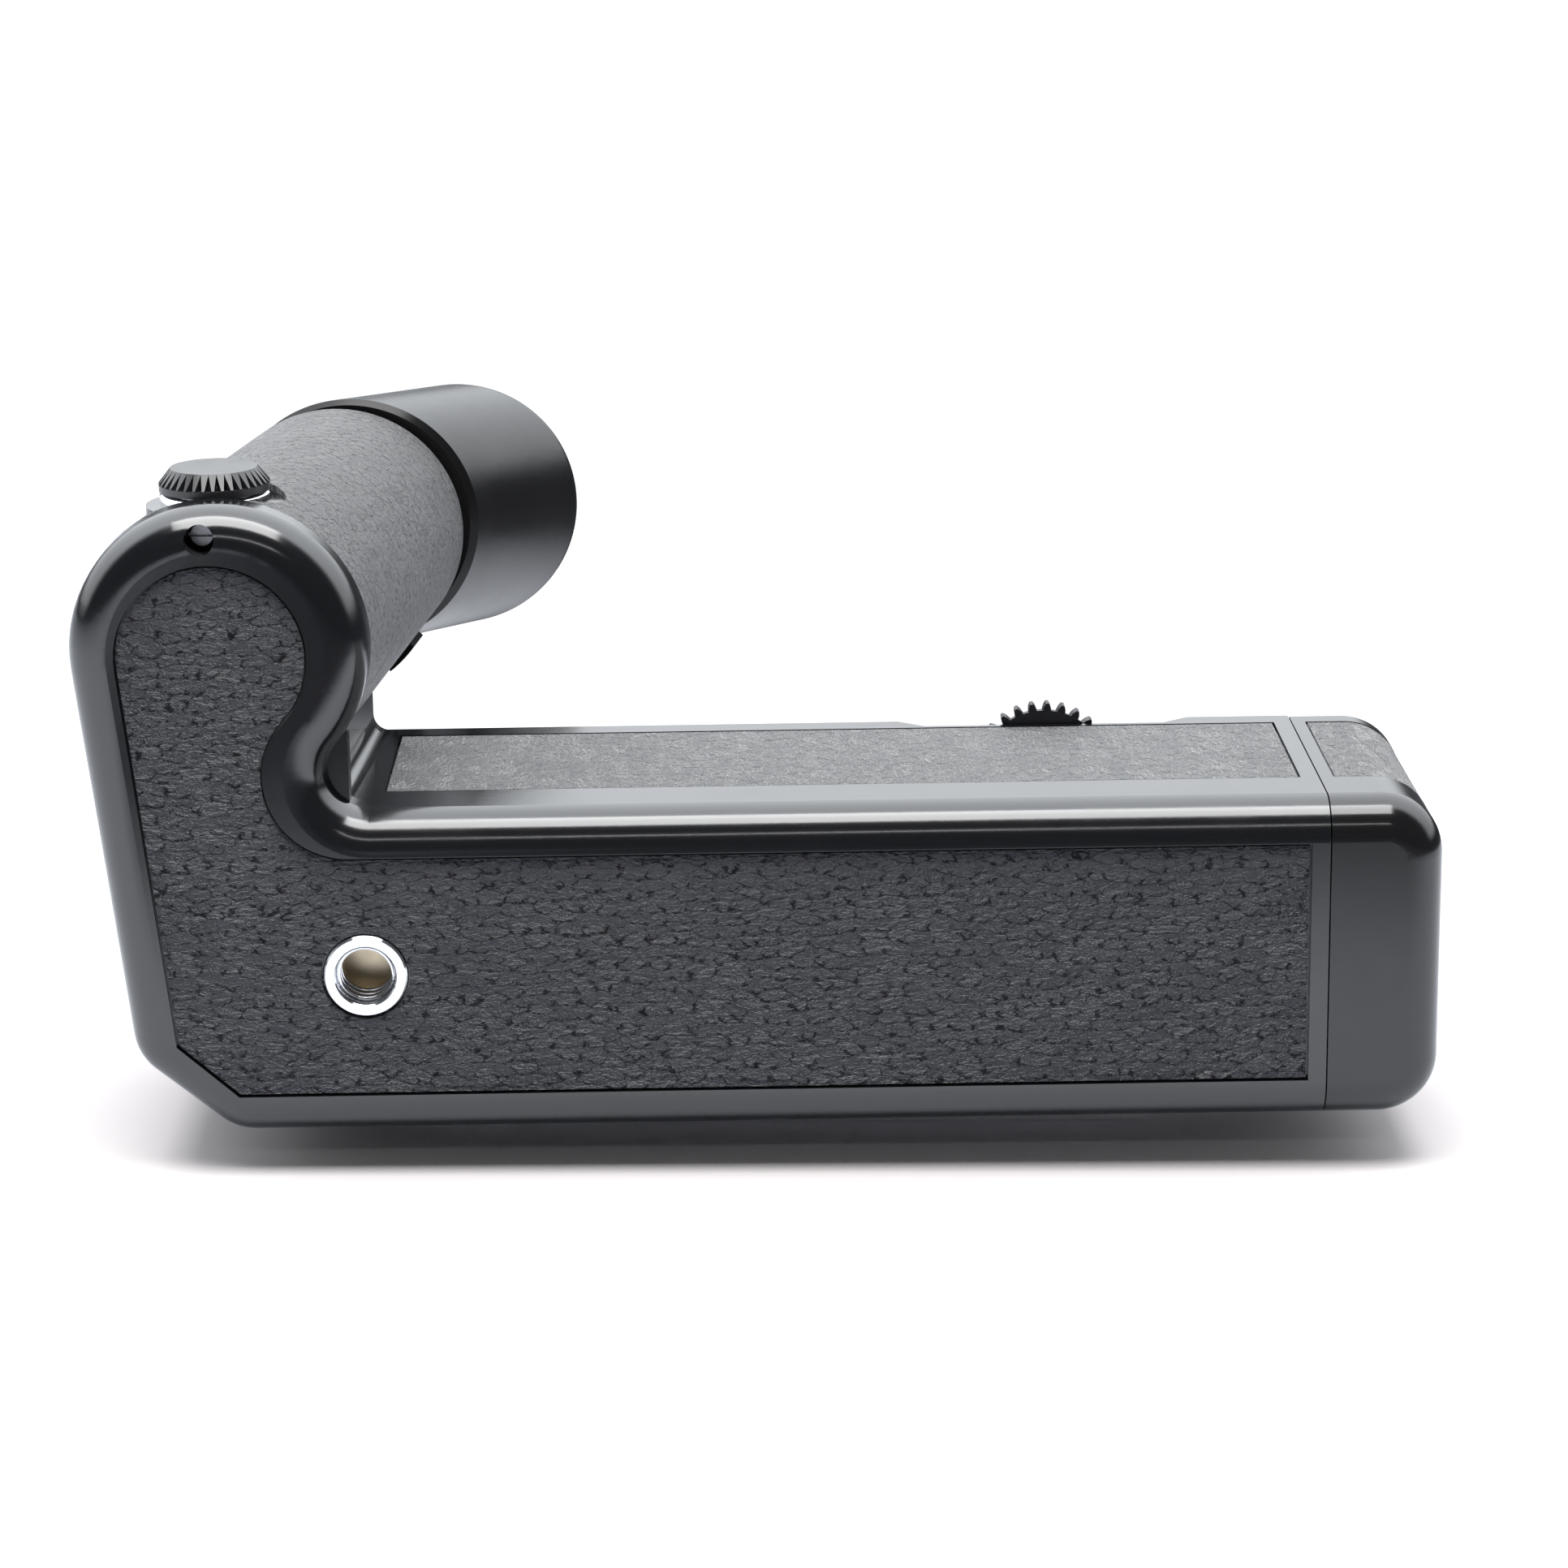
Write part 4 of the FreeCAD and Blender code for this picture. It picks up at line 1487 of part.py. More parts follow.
def end_cap():
    """The end cap that pulls the battery drawer out, its leather and its latch."""
    left = seam_x + s.seam_gap
    body = new_body("end_cap")
    sketch = new_sketch(body, "cap_outline", "XZ_Plane", -bottom)
    polygon(sketch, [(left, 0.0), (right_x, 0.0), (right_x, s.base_depth), (left, s.base_depth)])
    solid = pad(body, "cap_pad", sketch, plate_depth, True)
    doc.recompute()
    right, front = right_x.number, s.base_depth.number
    corners = round_edges(body, "cap_corners", solid,
                          lambda edge: upright_at(edge, right, 0.0) or upright_at(edge, right, front),
                          s.cap_corner)
    seam = left.number
    low = round_edges(body, "cap_bezel", corners,
                      lambda edge: same_y(edge, bottom.number) and not same_x(edge, seam), s.bezel_radius)
    round_edges(body, "cap_top_edge", low,
                lambda edge: same_y(edge, plate_high.number) and not same_x(edge, seam), size(0.6))
    y0, y1 = up(drawer_y) - chamber_half_y, up(drawer_y) + chamber_half_y
    z0, z1 = drawer_z - chamber_half_z, drawer_z + chamber_half_z
    end = right_x - s.cap_wall
    body.Tip = body.Group[-1]
    room = box("cap_room", left - 1.0, end, y0, y1, z0, z1)
    doc.recompute()
    inner_corners = [number for number, edge in enumerate(room.Shape.Edges, start=1)
                     if upright_at(edge, end.number, z0.number) or upright_at(edge, end.number, z1.number)]
    rounded = doc.addObject("Part::Fillet", "cap_room_rounded")
    rounded.Base = room
    radius = s.cap_room_corner.number
    rounded.Edges = [(number, radius, radius) for number in inner_corners]
    skin_low, skin_high = up(s.strip_low), up(strip_high)
    cap_strip_x = seam_x + s.cap_strip_margin
    centre_x, centre_z = right_x - s.cap_corner, s.base_depth - s.cap_corner
    beyond = right_x + 5.0
    ahead = s.base_depth + 5.0
    quarter = box("cap_skin_quarter", centre_x, beyond, skin_low, skin_high, centre_z, ahead)
    pillar = rod("cap_skin_pillar", s.cap_corner - strip_seat, skin_high - skin_low, centre_x, skin_low, centre_z)
    slide_low = s.skin_recess + s.latch_height + 0.1
    latch_left = left + 0.9
    latch_half = s.latch_width / 2
    tools = [
        rounded,
        cut("cap_skin_corner", quarter, [pillar]),
        box("cap_skin_front", cap_strip_x, centre_x, skin_low, skin_high, s.base_depth - strip_seat, ahead),
        box("cap_skin_side", right_x - strip_seat, beyond, skin_low, skin_high, s.cap_strip_rear_z, centre_z),
        box("latch_room", latch_left, latch_left + s.latch_length + s.latch_travel + 0.3,
            up(s.latch_y) - latch_half - 0.15, up(s.latch_y) + latch_half + 0.15, size(-1.0), slide_low),
        tongue_slot("cap_tongue_slot", left - 1.0, latch_left + 0.5, 0.2),
    ]
    piece("end_cap", cut("end_cap_cut", body, tools))

    gap = s.skin_gap
    y0, y1 = skin_low + gap, skin_high - gap
    outer, inner = s.cap_corner - s.strip_recess, s.cap_corner - strip_seat
    ring = cut("cap_leather_ring", rod("cap_leather_outer", outer, y1 - y0, centre_x, y0, centre_z),
               [rod("cap_leather_inner", inner, y1 - y0, centre_x, y0, centre_z)])
    corner = common("cap_leather_corner", [ring, box("cap_leather_quarter", centre_x, beyond, y0, y1,
                                                     centre_z, ahead)])
    face = s.base_depth - s.strip_recess
    side = right_x - s.strip_recess
    sheets = [corner,
              box("cap_leather_front", cap_strip_x + gap, centre_x, y0, y1, face - s.skin, face),
              box("cap_leather_side", side - s.skin, side, y0, y1, s.cap_strip_rear_z + gap, centre_z)]
    piece("end_cap_leather", fuse("end_cap_leather_solid", sheets))

    slider = box("latch_slider", latch_left + 0.1, latch_left + 0.1 + s.latch_length,
                 up(s.latch_y) - latch_half, up(s.latch_y) + latch_half, s.skin_recess,
                 s.skin_recess + s.latch_height)
    tongue = tongue_slot("latch_tongue", seam_x - s.tongue_reach, latch_left + 0.2, 0.0)
    ribs = [box(f"latch_groove{number}", latch_left + 0.8 + number * 0.8, latch_left + 1.1 + number * 0.8,
                up(s.latch_y) - latch_half + 0.8, up(s.latch_y) + latch_half - 0.8, size(0.0),
                s.skin_recess + 0.25) for number in range(3)]
    piece("drawer_latch", cut("drawer_latch_cut", fuse("drawer_latch_solid", [slider, tongue]), ribs))
    start = latch_left + 0.1 + s.latch_length
    length = s.latch_travel + 0.2
    springs = [rod(f"latch_spring{number}", 0.4, length, start, up(s.latch_y) + side * 2.5,
                   s.skin_recess + s.latch_height / 2, "X") for number, side in enumerate((-1, 1))]
    piece("drawer_latch_springs", group("drawer_latch_springs_group", springs))


def fasteners():
    """Screws and locating pins that hold and guide the shells."""
    heads = []
    sink = s.plate_screw_head - s.plate_screw_radius
    for number, (x, z) in enumerate(PLATE_SCREWS):
        length = s.plate_thickness - sink + s.pivot_depth
        body = turned(f"plate_screw{number}", [
            (size(0.0), size(0.0)), (s.plate_screw_head - 0.05, size(0.0)), (s.plate_screw_radius, sink),
            (s.plate_screw_radius, sink + length), (size(0.0), sink + length)], x, plate_high, z, "-Y")
        groove = new_sketch(body, f"plate_screw_slot{number}", "XY_Plane")
        polygon(groove, [(-2.0, -0.2), (2.0, -0.2), (2.0, 0.2), (-2.0, 0.2)])
        body.Tip = pocket(body, f"plate_screw_cut{number}", groove, 0.45, True)
        heads.append(body)
    piece("top_plate_screws", group("top_plate_screws_group", heads))
    lugs = []
    for number in range(3):
        x, z = at_lug(number)
        lugs.append(screw(f"grip_screw{number}", s.plate_screw_radius, s.plate_screw_head, 1.1, 4.6,
                          x, up(seat_depth + 0.05), z, "Y"))
    piece("grip_screws", group("grip_screws_group", lugs))
    reach = s.arm_height - s.arm_screw_depth - 1.1 + 1.9
    piece("arm_screw", screw("arm_screw", s.plate_screw_radius, s.arm_screw_hole - 0.1, 1.1, reach,
                             s.arm_screw_x, up(s.arm_screw_depth + 0.1), s.arm_screw_z, "Y"))
    guides = []
    for number, (x, z) in enumerate(LOCATORS):
        top = s.plate_thickness + s.locator_reach
        seat = s.locator_radius + s.locator_shoulder
        guides.append(turned(f"locator{number}", [
            (size(0.0), size(0.0)), (seat, size(0.0)), (seat, s.plate_thickness),
            (s.locator_radius, s.plate_thickness), (s.locator_radius, top - s.locator_lead),
            (s.locator_radius - s.locator_lead, top), (size(0.0), top)], x, plate_low, z))
    piece("locating_pins", group("locating_pins_group", guides))


base_shell()
top_plate()
leathers()
tripod_bush()
grip()
grip_head()
release()
terminal()
camera_screw()
gear_train()
motor()
electrics()
battery_drawer()
end_cap()
fasteners()
doc.recompute()

for thing in doc.Objects:
    if "Invalid" in thing.State or "Error" in thing.State:
        raise RuntimeError(f"{thing.Name} failed: {thing.State}")
os.makedirs("parts", exist_ok=True)
for name, thing in pieces.items():
    shape = thing.Shape
    if shape.isNull() or not shape.isValid():
        raise RuntimeError(f"{name} has no sound shape")
    shape.exportStep(f"parts/{name}.step")
    print(f"{name}: {len(shape.Solids)} solids, {shape.Volume:.1f} mm3")
print(len(pieces), "pieces")
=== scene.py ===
"""Looks of a camera motor drive: finishes, leather grain, threads, floor, lights and camera."""

import json
import math

import bmesh
import bpy
from mathutils import Matrix, Vector

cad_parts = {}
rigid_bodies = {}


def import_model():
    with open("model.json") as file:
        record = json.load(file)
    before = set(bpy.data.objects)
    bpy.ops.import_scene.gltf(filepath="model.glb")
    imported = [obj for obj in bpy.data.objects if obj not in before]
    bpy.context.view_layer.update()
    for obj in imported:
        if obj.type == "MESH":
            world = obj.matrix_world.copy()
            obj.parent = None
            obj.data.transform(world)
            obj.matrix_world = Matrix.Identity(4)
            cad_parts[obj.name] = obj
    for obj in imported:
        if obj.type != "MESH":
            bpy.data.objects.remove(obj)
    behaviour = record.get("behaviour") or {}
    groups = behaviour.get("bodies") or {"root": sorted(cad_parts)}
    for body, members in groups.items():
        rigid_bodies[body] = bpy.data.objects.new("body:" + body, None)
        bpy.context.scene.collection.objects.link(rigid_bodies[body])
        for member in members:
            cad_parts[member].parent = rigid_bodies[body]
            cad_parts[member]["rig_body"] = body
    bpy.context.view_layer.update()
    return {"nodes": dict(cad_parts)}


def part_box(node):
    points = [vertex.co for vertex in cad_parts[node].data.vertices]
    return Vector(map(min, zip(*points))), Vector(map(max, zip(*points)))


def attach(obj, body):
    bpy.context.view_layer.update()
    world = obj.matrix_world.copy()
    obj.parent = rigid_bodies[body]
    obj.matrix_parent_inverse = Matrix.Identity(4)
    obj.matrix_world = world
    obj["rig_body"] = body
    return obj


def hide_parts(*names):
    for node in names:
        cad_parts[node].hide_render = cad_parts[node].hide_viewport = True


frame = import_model()
NODES = frame["nodes"]

bl_info = {
    "name": "Camera motor drive looks",
    "version": (1, 0, 0),
    "blender": (4, 5, 0),
    "location": "View3D > Sidebar > Motor Drive",
    "description": "Finishes, leather grain, threads, floor and lights for a camera motor drive",
    "category": "Object",
}

MM = 0.001
TRIPOD_CENTRE = (-42.15 * MM, 17.9 * MM)
TRIPOD_RIDGE_FOOT = 3.2 * MM
TRIPOD_THREAD_START = -53.75 * MM
TRIPOD_THREAD_LENGTH = 4.4 * MM
TRIPOD_TINT_START = -49.6 * MM
SCREW_RADIUS = 3.125 * MM
SCREW_THREAD_START = -17.4 * MM
SCREW_THREAD_LEAD = 0.45 * MM
SCREW_THREAD_LENGTH = 3.3 * MM
SAME_POINT = 0.001 * MM
SAME_LEVEL = 0.05 * MM
PART_HALF_WIDTH = 72.0 * MM
PART_HALF_DEPTH = 55.0 * MM
SOFTBOX_PLACE = (-0.03, -0.154, 0.6)
SOFTBOX_SIZE = (0.56, 0.307)
STRIP_PLACE = (0.0, -0.70, 0.50)
STRIP_SIZE = (0.5, 0.02)
STRIP_TARGET = (0.0, -0.0525, 0.03)
CAMERA_TARGET = (2.29321 * MM, -54.75 * MM, 38.33375 * MM)
CAMERA_DISTANCE = 451.0325 * MM
CAMERA_ANGLES = (15.2818, 0.54864, -0.75121)
PAPER_LIT = (0.83, 0.85, 0.9, 1.0)
PAPER_SEEN = (0.92, 0.88, 0.88, 1.0)
# Painted shade: colour of the paper away from the object, seen in reflections and bounced light.
PAPER_FAR_SHADE = (0.07, 0.07, 0.075, 1.0)
PAPER_FADE = (0.055, 0.165)
PAPER_GLOW = (0.02, 0.045)
PAPER_LEFT = (-0.09, -0.14)
WHITE = (1.0, 1.0, 1.0, 1.0)
GRIP_FOOT = (-56.4 * MM, -47.75 * MM, 52.6 * MM)
GRIP_TOP = (-50.0 * MM, 19.25 * MM, 50.4 * MM)
GRIP_RADIUS = 15.2 * MM


class MotorDriveFinish(bpy.types.PropertyGroup):
    """Colours and surface sizes of the finishes."""

    paint_colour: bpy.props.FloatVectorProperty(
        name="Enamel colour", description="Baked enamel on the die castings",
        subtype="COLOR", size=4, min=0.0, max=1.0, default=(0.006, 0.0065, 0.008, 1.0))
    paint_roughness: bpy.props.FloatProperty(
        name="Enamel roughness", description="Roughness of the enamel", min=0.0, max=1.0, default=0.15)
    plastic_colour: bpy.props.FloatVectorProperty(
        name="Plastic colour", description="Black mouldings of the grip head and end cap",
        subtype="COLOR", size=4, min=0.0, max=1.0, default=(0.008, 0.008, 0.0085, 1.0))
    plastic_roughness: bpy.props.FloatProperty(
        name="Plastic roughness", description="Roughness of the mouldings", min=0.0, max=1.0, default=0.13)
    leather_colour: bpy.props.FloatVectorProperty(
        name="Leatherette colour", description="Colour of the grained covering",
        subtype="COLOR", size=4, min=0.0, max=1.0, default=(0.0085, 0.009, 0.0165, 1.0))
    leather_roughness: bpy.props.FloatProperty(
        name="Leatherette roughness", description="Roughness of the covering",
        min=0.0, max=1.0, default=0.33)
    grain_length: bpy.props.FloatProperty(
        name="Grain length", description="Length of a grain cell on the flat panels",
        unit="LENGTH", min=0.0002, max=0.01, default=0.0025)
    grain_width: bpy.props.FloatProperty(
        name="Grain width", description="Width of a grain cell on the flat panels",
        unit="LENGTH", min=0.0002, max=0.01, default=0.00125)
    grain_depth: bpy.props.FloatProperty(
        name="Grain depth", description="Depth of the creases", unit="LENGTH", min=0.0, max=0.001,
        default=0.0004)
    grip_grain: bpy.props.FloatProperty(
        name="Grip grain", description="Width of a grain cell on the grip", unit="LENGTH",
        min=0.0002, max=0.01, default=0.0011)


class MotorDriveThread(bpy.types.PropertyGroup):
    """Sizes of the cut threads."""

    camera_pitch: bpy.props.FloatProperty(
        name="Camera thread pitch", description="Pitch of the quarter inch camera thread",
        unit="LENGTH", min=0.0002, max=0.005, default=0.00127)
    ridge: bpy.props.FloatProperty(
        name="Thread ridge", description="Middle to corner of a thread ridge's three-sided section",
        unit="LENGTH", min=0.00005, max=0.002, default=0.00042)


class MotorDriveStage(bpy.types.PropertyGroup):
    """Floor, lights and camera."""

    floor_size: bpy.props.FloatProperty(
        name="Floor size", description="Side of the square floor", unit="LENGTH",
        min=0.5, max=40.0, default=12.0)
    floor_gap: bpy.props.FloatProperty(
        name="Floor gap", description="Space under the part's left end, while a wedge carries the part",
        unit="LENGTH", min=0.0, max=0.02, default=0.004)
    floor_tilt: bpy.props.FloatProperty(
        name="Floor tilt", description="Tilt of the floor against the part", unit="ROTATION",
        min=-0.05, max=0.05, default=0.0131)
    softbox_power: bpy.props.FloatProperty(
        name="Softbox power", description="Power of the overhead light", subtype="POWER",
        min=0.0, max=500.0, default=4.5)
    strip_power: bpy.props.FloatProperty(
        name="Strip power", description="Power of the narrow light in front", subtype="POWER",
        min=0.0, max=50.0, default=0.25)
    room_level: bpy.props.FloatProperty(
        name="Room level", description="Brightness of the room behind the camera in reflections",
        min=0.0, max=1.0, default=0.08)
    fill_level: bpy.props.FloatProperty(
        name="Fill level", description="Brightness of the room on matt surfaces",
        min=0.0, max=1.0, default=0.12)
    sky_level: bpy.props.FloatProperty(
        name="Sky level", description="Brightness of the white wall and ceiling behind the object",
        min=0.0, max=5.0, default=3.3)
    lens: bpy.props.FloatProperty(
        name="Lens", description="Focal length of the camera", subtype="DISTANCE_CAMERA",
        min=20.0, max=300.0, default=99.238)


def finish_settings():
    """The user's finish values."""
    return bpy.context.scene.motor_drive_finish


def thread_settings():
    """The user's thread values."""
    return bpy.context.scene.motor_drive_thread


def stage_settings():
    """The user's stage values."""
    return bpy.context.scene.motor_drive_stage


def shader_group(name, inputs, outputs):
    """An empty shader node group with named sockets, or the one already made."""
    known = bpy.data.node_groups.get(name)
    if known:
        return known, None, None
    group = bpy.data.node_groups.new(name, "ShaderNodeTree")
    for title, kind, value in inputs:
        socket = group.interface.new_socket(name=title, in_out="INPUT", socket_type=kind)
        if value is not None:
            socket.default_value = value
    for title, kind in outputs:
        group.interface.new_socket(name=title, in_out="OUTPUT", socket_type=kind)
    return group, group.nodes.new("NodeGroupInput"), group.nodes.new("NodeGroupOutput")


def add_node(tree, kind, settings=None, values=None):
    """A node with its settings and unlinked input values."""
    node = tree.nodes.new(kind)
    for key, value in (settings or {}).items():
        setattr(node, key, value)
    for key, value in (values or {}).items():
        node.inputs[key].default_value = value
    return node


def maths(tree, operation, first, second=None, third=None):
    """A math node from sockets or numbers, and its output."""
    node = tree.nodes.new("ShaderNodeMath")
    node.operation = operation
    for index, value in enumerate((first, second, third)):
        if value is None:
            continue
        if isinstance(value, (int, float)):
            node.inputs[index].default_value = value
        else:
            tree.links.new(value, node.inputs[index])
    return node.outputs[0]


def ramp_between(tree, value, low, high):
    """A smooth step of a value between two limits."""
    node = add_node(tree, "ShaderNodeMapRange", {"interpolation_type": "SMOOTHSTEP"},
                    {"From Min": low, "From Max": high})
    tree.links.new(value, node.inputs["Value"])
    return node.outputs["Result"]


def grain_group():
    """Leather grain: tilted flakes that overlap downwards, as height, a mask of painted shade in the creases
    and slow tone.
    """
    group, given, result = shader_group(
        "leather_grain",
        [("Vector", "NodeSocketVector", None), ("Jag", "NodeSocketFloat", 0.8),
         ("Lean", "NodeSocketFloat", 1.0)],
        [("Height", "NodeSocketFloat"), ("Painted crease shade", "NodeSocketFloat"), ("Tone", "NodeSocketFloat")])
    if result is None:
        return group
    links = group.links
    broad = add_node(group, "ShaderNodeTexNoise", {"noise_dimensions": "2D"},
                     {"Scale": 0.4, "Detail": 2.0, "Roughness": 0.55})
    links.new(given.outputs["Vector"], broad.inputs["Vector"])
    sway = add_node(group, "ShaderNodeTexNoise", {"noise_dimensions": "2D"},
                    {"Scale": 1.9, "Detail": 3.0, "Roughness": 0.6})
    links.new(given.outputs["Vector"], sway.inputs["Vector"])
    centred = add_node(group, "ShaderNodeVectorMath", {"operation": "SUBTRACT"})
    links.new(sway.outputs["Color"], centred.inputs[0])
    centred.inputs[1].default_value = (0.5, 0.5, 0.5)
    jagged = add_node(group, "ShaderNodeVectorMath", {"operation": "SCALE"})
    links.new(centred.outputs[0], jagged.inputs[0])
    links.new(given.outputs["Jag"], jagged.inputs["Scale"])
    bent = add_node(group, "ShaderNodeVectorMath", {"operation": "ADD"})
    links.new(given.outputs["Vector"], bent.inputs[0])
    links.new(jagged.outputs[0], bent.inputs[1])
    flakes = add_node(group, "ShaderNodeTexVoronoi", {"voronoi_dimensions": "2D", "feature": "SMOOTH_F1"},
                      {"Scale": 1.0, "Smoothness": 0.09, "Randomness": 0.95})
    links.new(bent.outputs[0], flakes.inputs["Vector"])
    inside = add_node(group, "ShaderNodeVectorMath", {"operation": "SUBTRACT"})
    links.new(bent.outputs[0], inside.inputs[0])
    links.new(flakes.outputs["Position"], inside.inputs[1])
    local = group.nodes.new("ShaderNodeSeparateXYZ")
    links.new(inside.outputs[0], local.inputs["Vector"])
    chance = add_node(group, "ShaderNodeSeparateColor")
    links.new(flakes.outputs["Color"], chance.inputs["Color"])
    side = maths(group, "MULTIPLY", maths(group, "SUBTRACT", chance.outputs[0], 0.5), local.outputs["X"])
    steepness = maths(group, "MULTIPLY_ADD", chance.outputs[1], 0.8, 0.6)
    slope = maths(group, "MULTIPLY", local.outputs["Y"], steepness)
    slope = maths(group, "MULTIPLY", slope, given.outputs["Lean"])
    height = maths(group, "MULTIPLY_ADD", slope, -1.1, maths(group, "MULTIPLY", side, 2.6))
    fine = add_node(group, "ShaderNodeTexNoise", {"noise_dimensions": "2D"},
                    {"Scale": 3.2, "Detail": 3.0, "Roughness": 0.65})
    links.new(given.outputs["Vector"], fine.inputs["Vector"])
    height = maths(group, "MULTIPLY_ADD", fine.outputs["Fac"], 0.65, height)
    pores = add_node(group, "ShaderNodeTexNoise", {"noise_dimensions": "2D"},
                     {"Scale": 10.0, "Detail": 2.0, "Roughness": 0.6})
    links.new(given.outputs["Vector"], pores.inputs["Vector"])
    height = maths(group, "MULTIPLY_ADD", pores.outputs["Fac"], 0.16, height)
    links.new(height, result.inputs["Height"])
    rims = add_node(group, "ShaderNodeTexVoronoi",
                    {"voronoi_dimensions": "2D", "feature": "DISTANCE_TO_EDGE"},
                    {"Scale": 1.0, "Randomness": 0.95})
    links.new(bent.outputs[0], rims.inputs["Vector"])
    # Painted shade: the mask is strongest near each flake's rim on its lower side, where the creases lie in
    # shadow.
    near_rim = ramp_between(group, rims.outputs["Distance"], 0.15, 0.02)
    lower = ramp_between(group, local.outputs["Y"], 0.06, -0.2)
    links.new(maths(group, "MULTIPLY", near_rim, lower), result.inputs["Painted crease shade"])
    links.new(broad.outputs["Fac"], result.inputs["Tone"])
    return group


def wear_group():
    """Fine unevenness of a coated surface: ripple height, a rubbed mask and dust specks."""
    group, given, result = shader_group(
        "coat_wear", [("Vector", "NodeSocketVector", None), ("Ripple", "NodeSocketFloat", 900.0)],
        [("Height", "NodeSocketFloat"), ("Rubbed", "NodeSocketFloat"), ("Specks", "NodeSocketFloat")])
    if result is None:
        return group
    links = group.links
    ripple = add_node(group, "ShaderNodeTexNoise", {"noise_dimensions": "3D"},
                      {"Detail": 2.0, "Roughness": 0.5})
    links.new(given.outputs["Vector"], ripple.inputs["Vector"])
    links.new(given.outputs["Ripple"], ripple.inputs["Scale"])
    patches = add_node(group, "ShaderNodeTexNoise", {"noise_dimensions": "3D"},
                       {"Scale": 70.0, "Detail": 4.0, "Roughness": 0.65})
    links.new(given.outputs["Vector"], patches.inputs["Vector"])
    specks = add_node(group, "ShaderNodeTexVoronoi", {"feature": "F1"}, {"Scale": 320.0, "Randomness": 1.0})
    links.new(given.outputs["Vector"], specks.inputs["Vector"])
    near = ramp_between(group, specks.outputs["Distance"], 0.045, 0.02)
    chosen = add_node(group, "ShaderNodeSeparateColor")
    links.new(specks.outputs["Color"], chosen.inputs["Color"])
    few = maths(group, "GREATER_THAN", chosen.outputs[0], 0.9)
    links.new(ripple.outputs["Fac"], result.inputs["Height"])
    links.new(ramp_between(group, patches.outputs["Fac"], 0.42, 0.72), result.inputs["Rubbed"])
    links.new(maths(group, "MULTIPLY", near, few), result.inputs["Specks"])
    return group


def start_material(name):
    """A new material with its shader and object coordinates."""
    material = bpy.data.materials.new(name)
    material.use_nodes = True
    tree = material.node_tree
    tree.nodes.clear()
    shader = tree.nodes.new("ShaderNodeBsdfPrincipled")
    output = tree.nodes.new("ShaderNodeOutputMaterial")
    tree.links.new(shader.outputs["BSDF"], output.inputs["Surface"])
    place = tree.nodes.new("ShaderNodeTexCoord")
    return material, tree, shader, place.outputs["Object"]


def add_group(tree, group, values=None):
    """A group node with its unlinked values."""
    node = tree.nodes.new("ShaderNodeGroup")
    node.node_tree = group
    for key, value in (values or {}).items():
        node.inputs[key].default_value = value
    return node


def mix_colours(tree, factor, first, second):
    """A blend of two colours by a mask."""
    node = tree.nodes.new("ShaderNodeMix")
    node.data_type = "RGBA"
    tree.links.new(factor, node.inputs["Factor"])
    node.inputs[6].default_value = first
    node.inputs[7].default_value = second
    return node.outputs[2]


def bump(tree, shader, height, distance):
    """A bump from a height, scaled by a distance in metres."""
    node = add_node(tree, "ShaderNodeBump", None, {"Strength": 1.0, "Distance": distance})
    tree.links.new(height, node.inputs["Height"])
    tree.links.new(node.outputs["Normal"], shader.inputs["Normal"])


def scaled(tree, vector, scale):
    """Object coordinates through a mapping node."""
    node = add_node(tree, "ShaderNodeMapping", {"vector_type": "POINT"}, {"Scale": scale})
    tree.links.new(vector, node.inputs["Vector"])
    return node.outputs["Vector"]


def coated_material(name, colour, roughness, rubbed, gloss=1.5, ripple=900.0, depth=0.000004, specks=0.35):
    """Enamel or moulded plastic: fine ripple, rubbed patches and a few dust specks."""
    material, tree, shader, place = start_material(name)
    wear = add_group(tree, wear_group(), {"Ripple": ripple})
    tree.links.new(place, wear.inputs["Vector"])
    shader.inputs["IOR"].default_value = gloss
    dust = (0.16, 0.16, 0.165, 1.0)
    share = maths(tree, "MULTIPLY", wear.outputs["Specks"], specks)
    tree.links.new(mix_colours(tree, share, colour, dust), shader.inputs["Base Color"])
    rough = maths(tree, "MULTIPLY_ADD", wear.outputs["Rubbed"], rubbed, roughness)
    rough = maths(tree, "MULTIPLY_ADD", wear.outputs["Specks"], 0.3, rough)
    tree.links.new(rough, shader.inputs["Roughness"])
    bump(tree, shader, wear.outputs["Height"], depth)
    return material


def panel_rows(tree, place, length, width):
    """Grain coordinates on the flat panels: rows run along X, and step in Y or Z."""
    parts = tree.nodes.new("ShaderNodeSeparateXYZ")
    tree.links.new(place, parts.inputs["Vector"])
    across = maths(tree, "ADD", parts.outputs["Y"], parts.outputs["Z"])
    rows = tree.nodes.new("ShaderNodeCombineXYZ")
    tree.links.new(maths(tree, "DIVIDE", parts.outputs["X"], length), rows.inputs["X"])
    tree.links.new(maths(tree, "DIVIDE", across, width), rows.inputs["Y"])
    return rows.outputs["Vector"]


def strip_rows(tree, place, length, width):
    """Grain coordinates along the front strip and down the end cap: rows run along it, and step in Y."""
    parts = tree.nodes.new("ShaderNodeSeparateXYZ")
    tree.links.new(place, parts.inputs["Vector"])
    rows = tree.nodes.new("ShaderNodeCombineXYZ")
    along = maths(tree, "SUBTRACT", parts.outputs["X"], parts.outputs["Z"])
    tree.links.new(maths(tree, "DIVIDE", along, width), rows.inputs["X"])
    tree.links.new(maths(tree, "DIVIDE", parts.outputs["Y"], length), rows.inputs["Y"])
    return rows.outputs["Vector"]


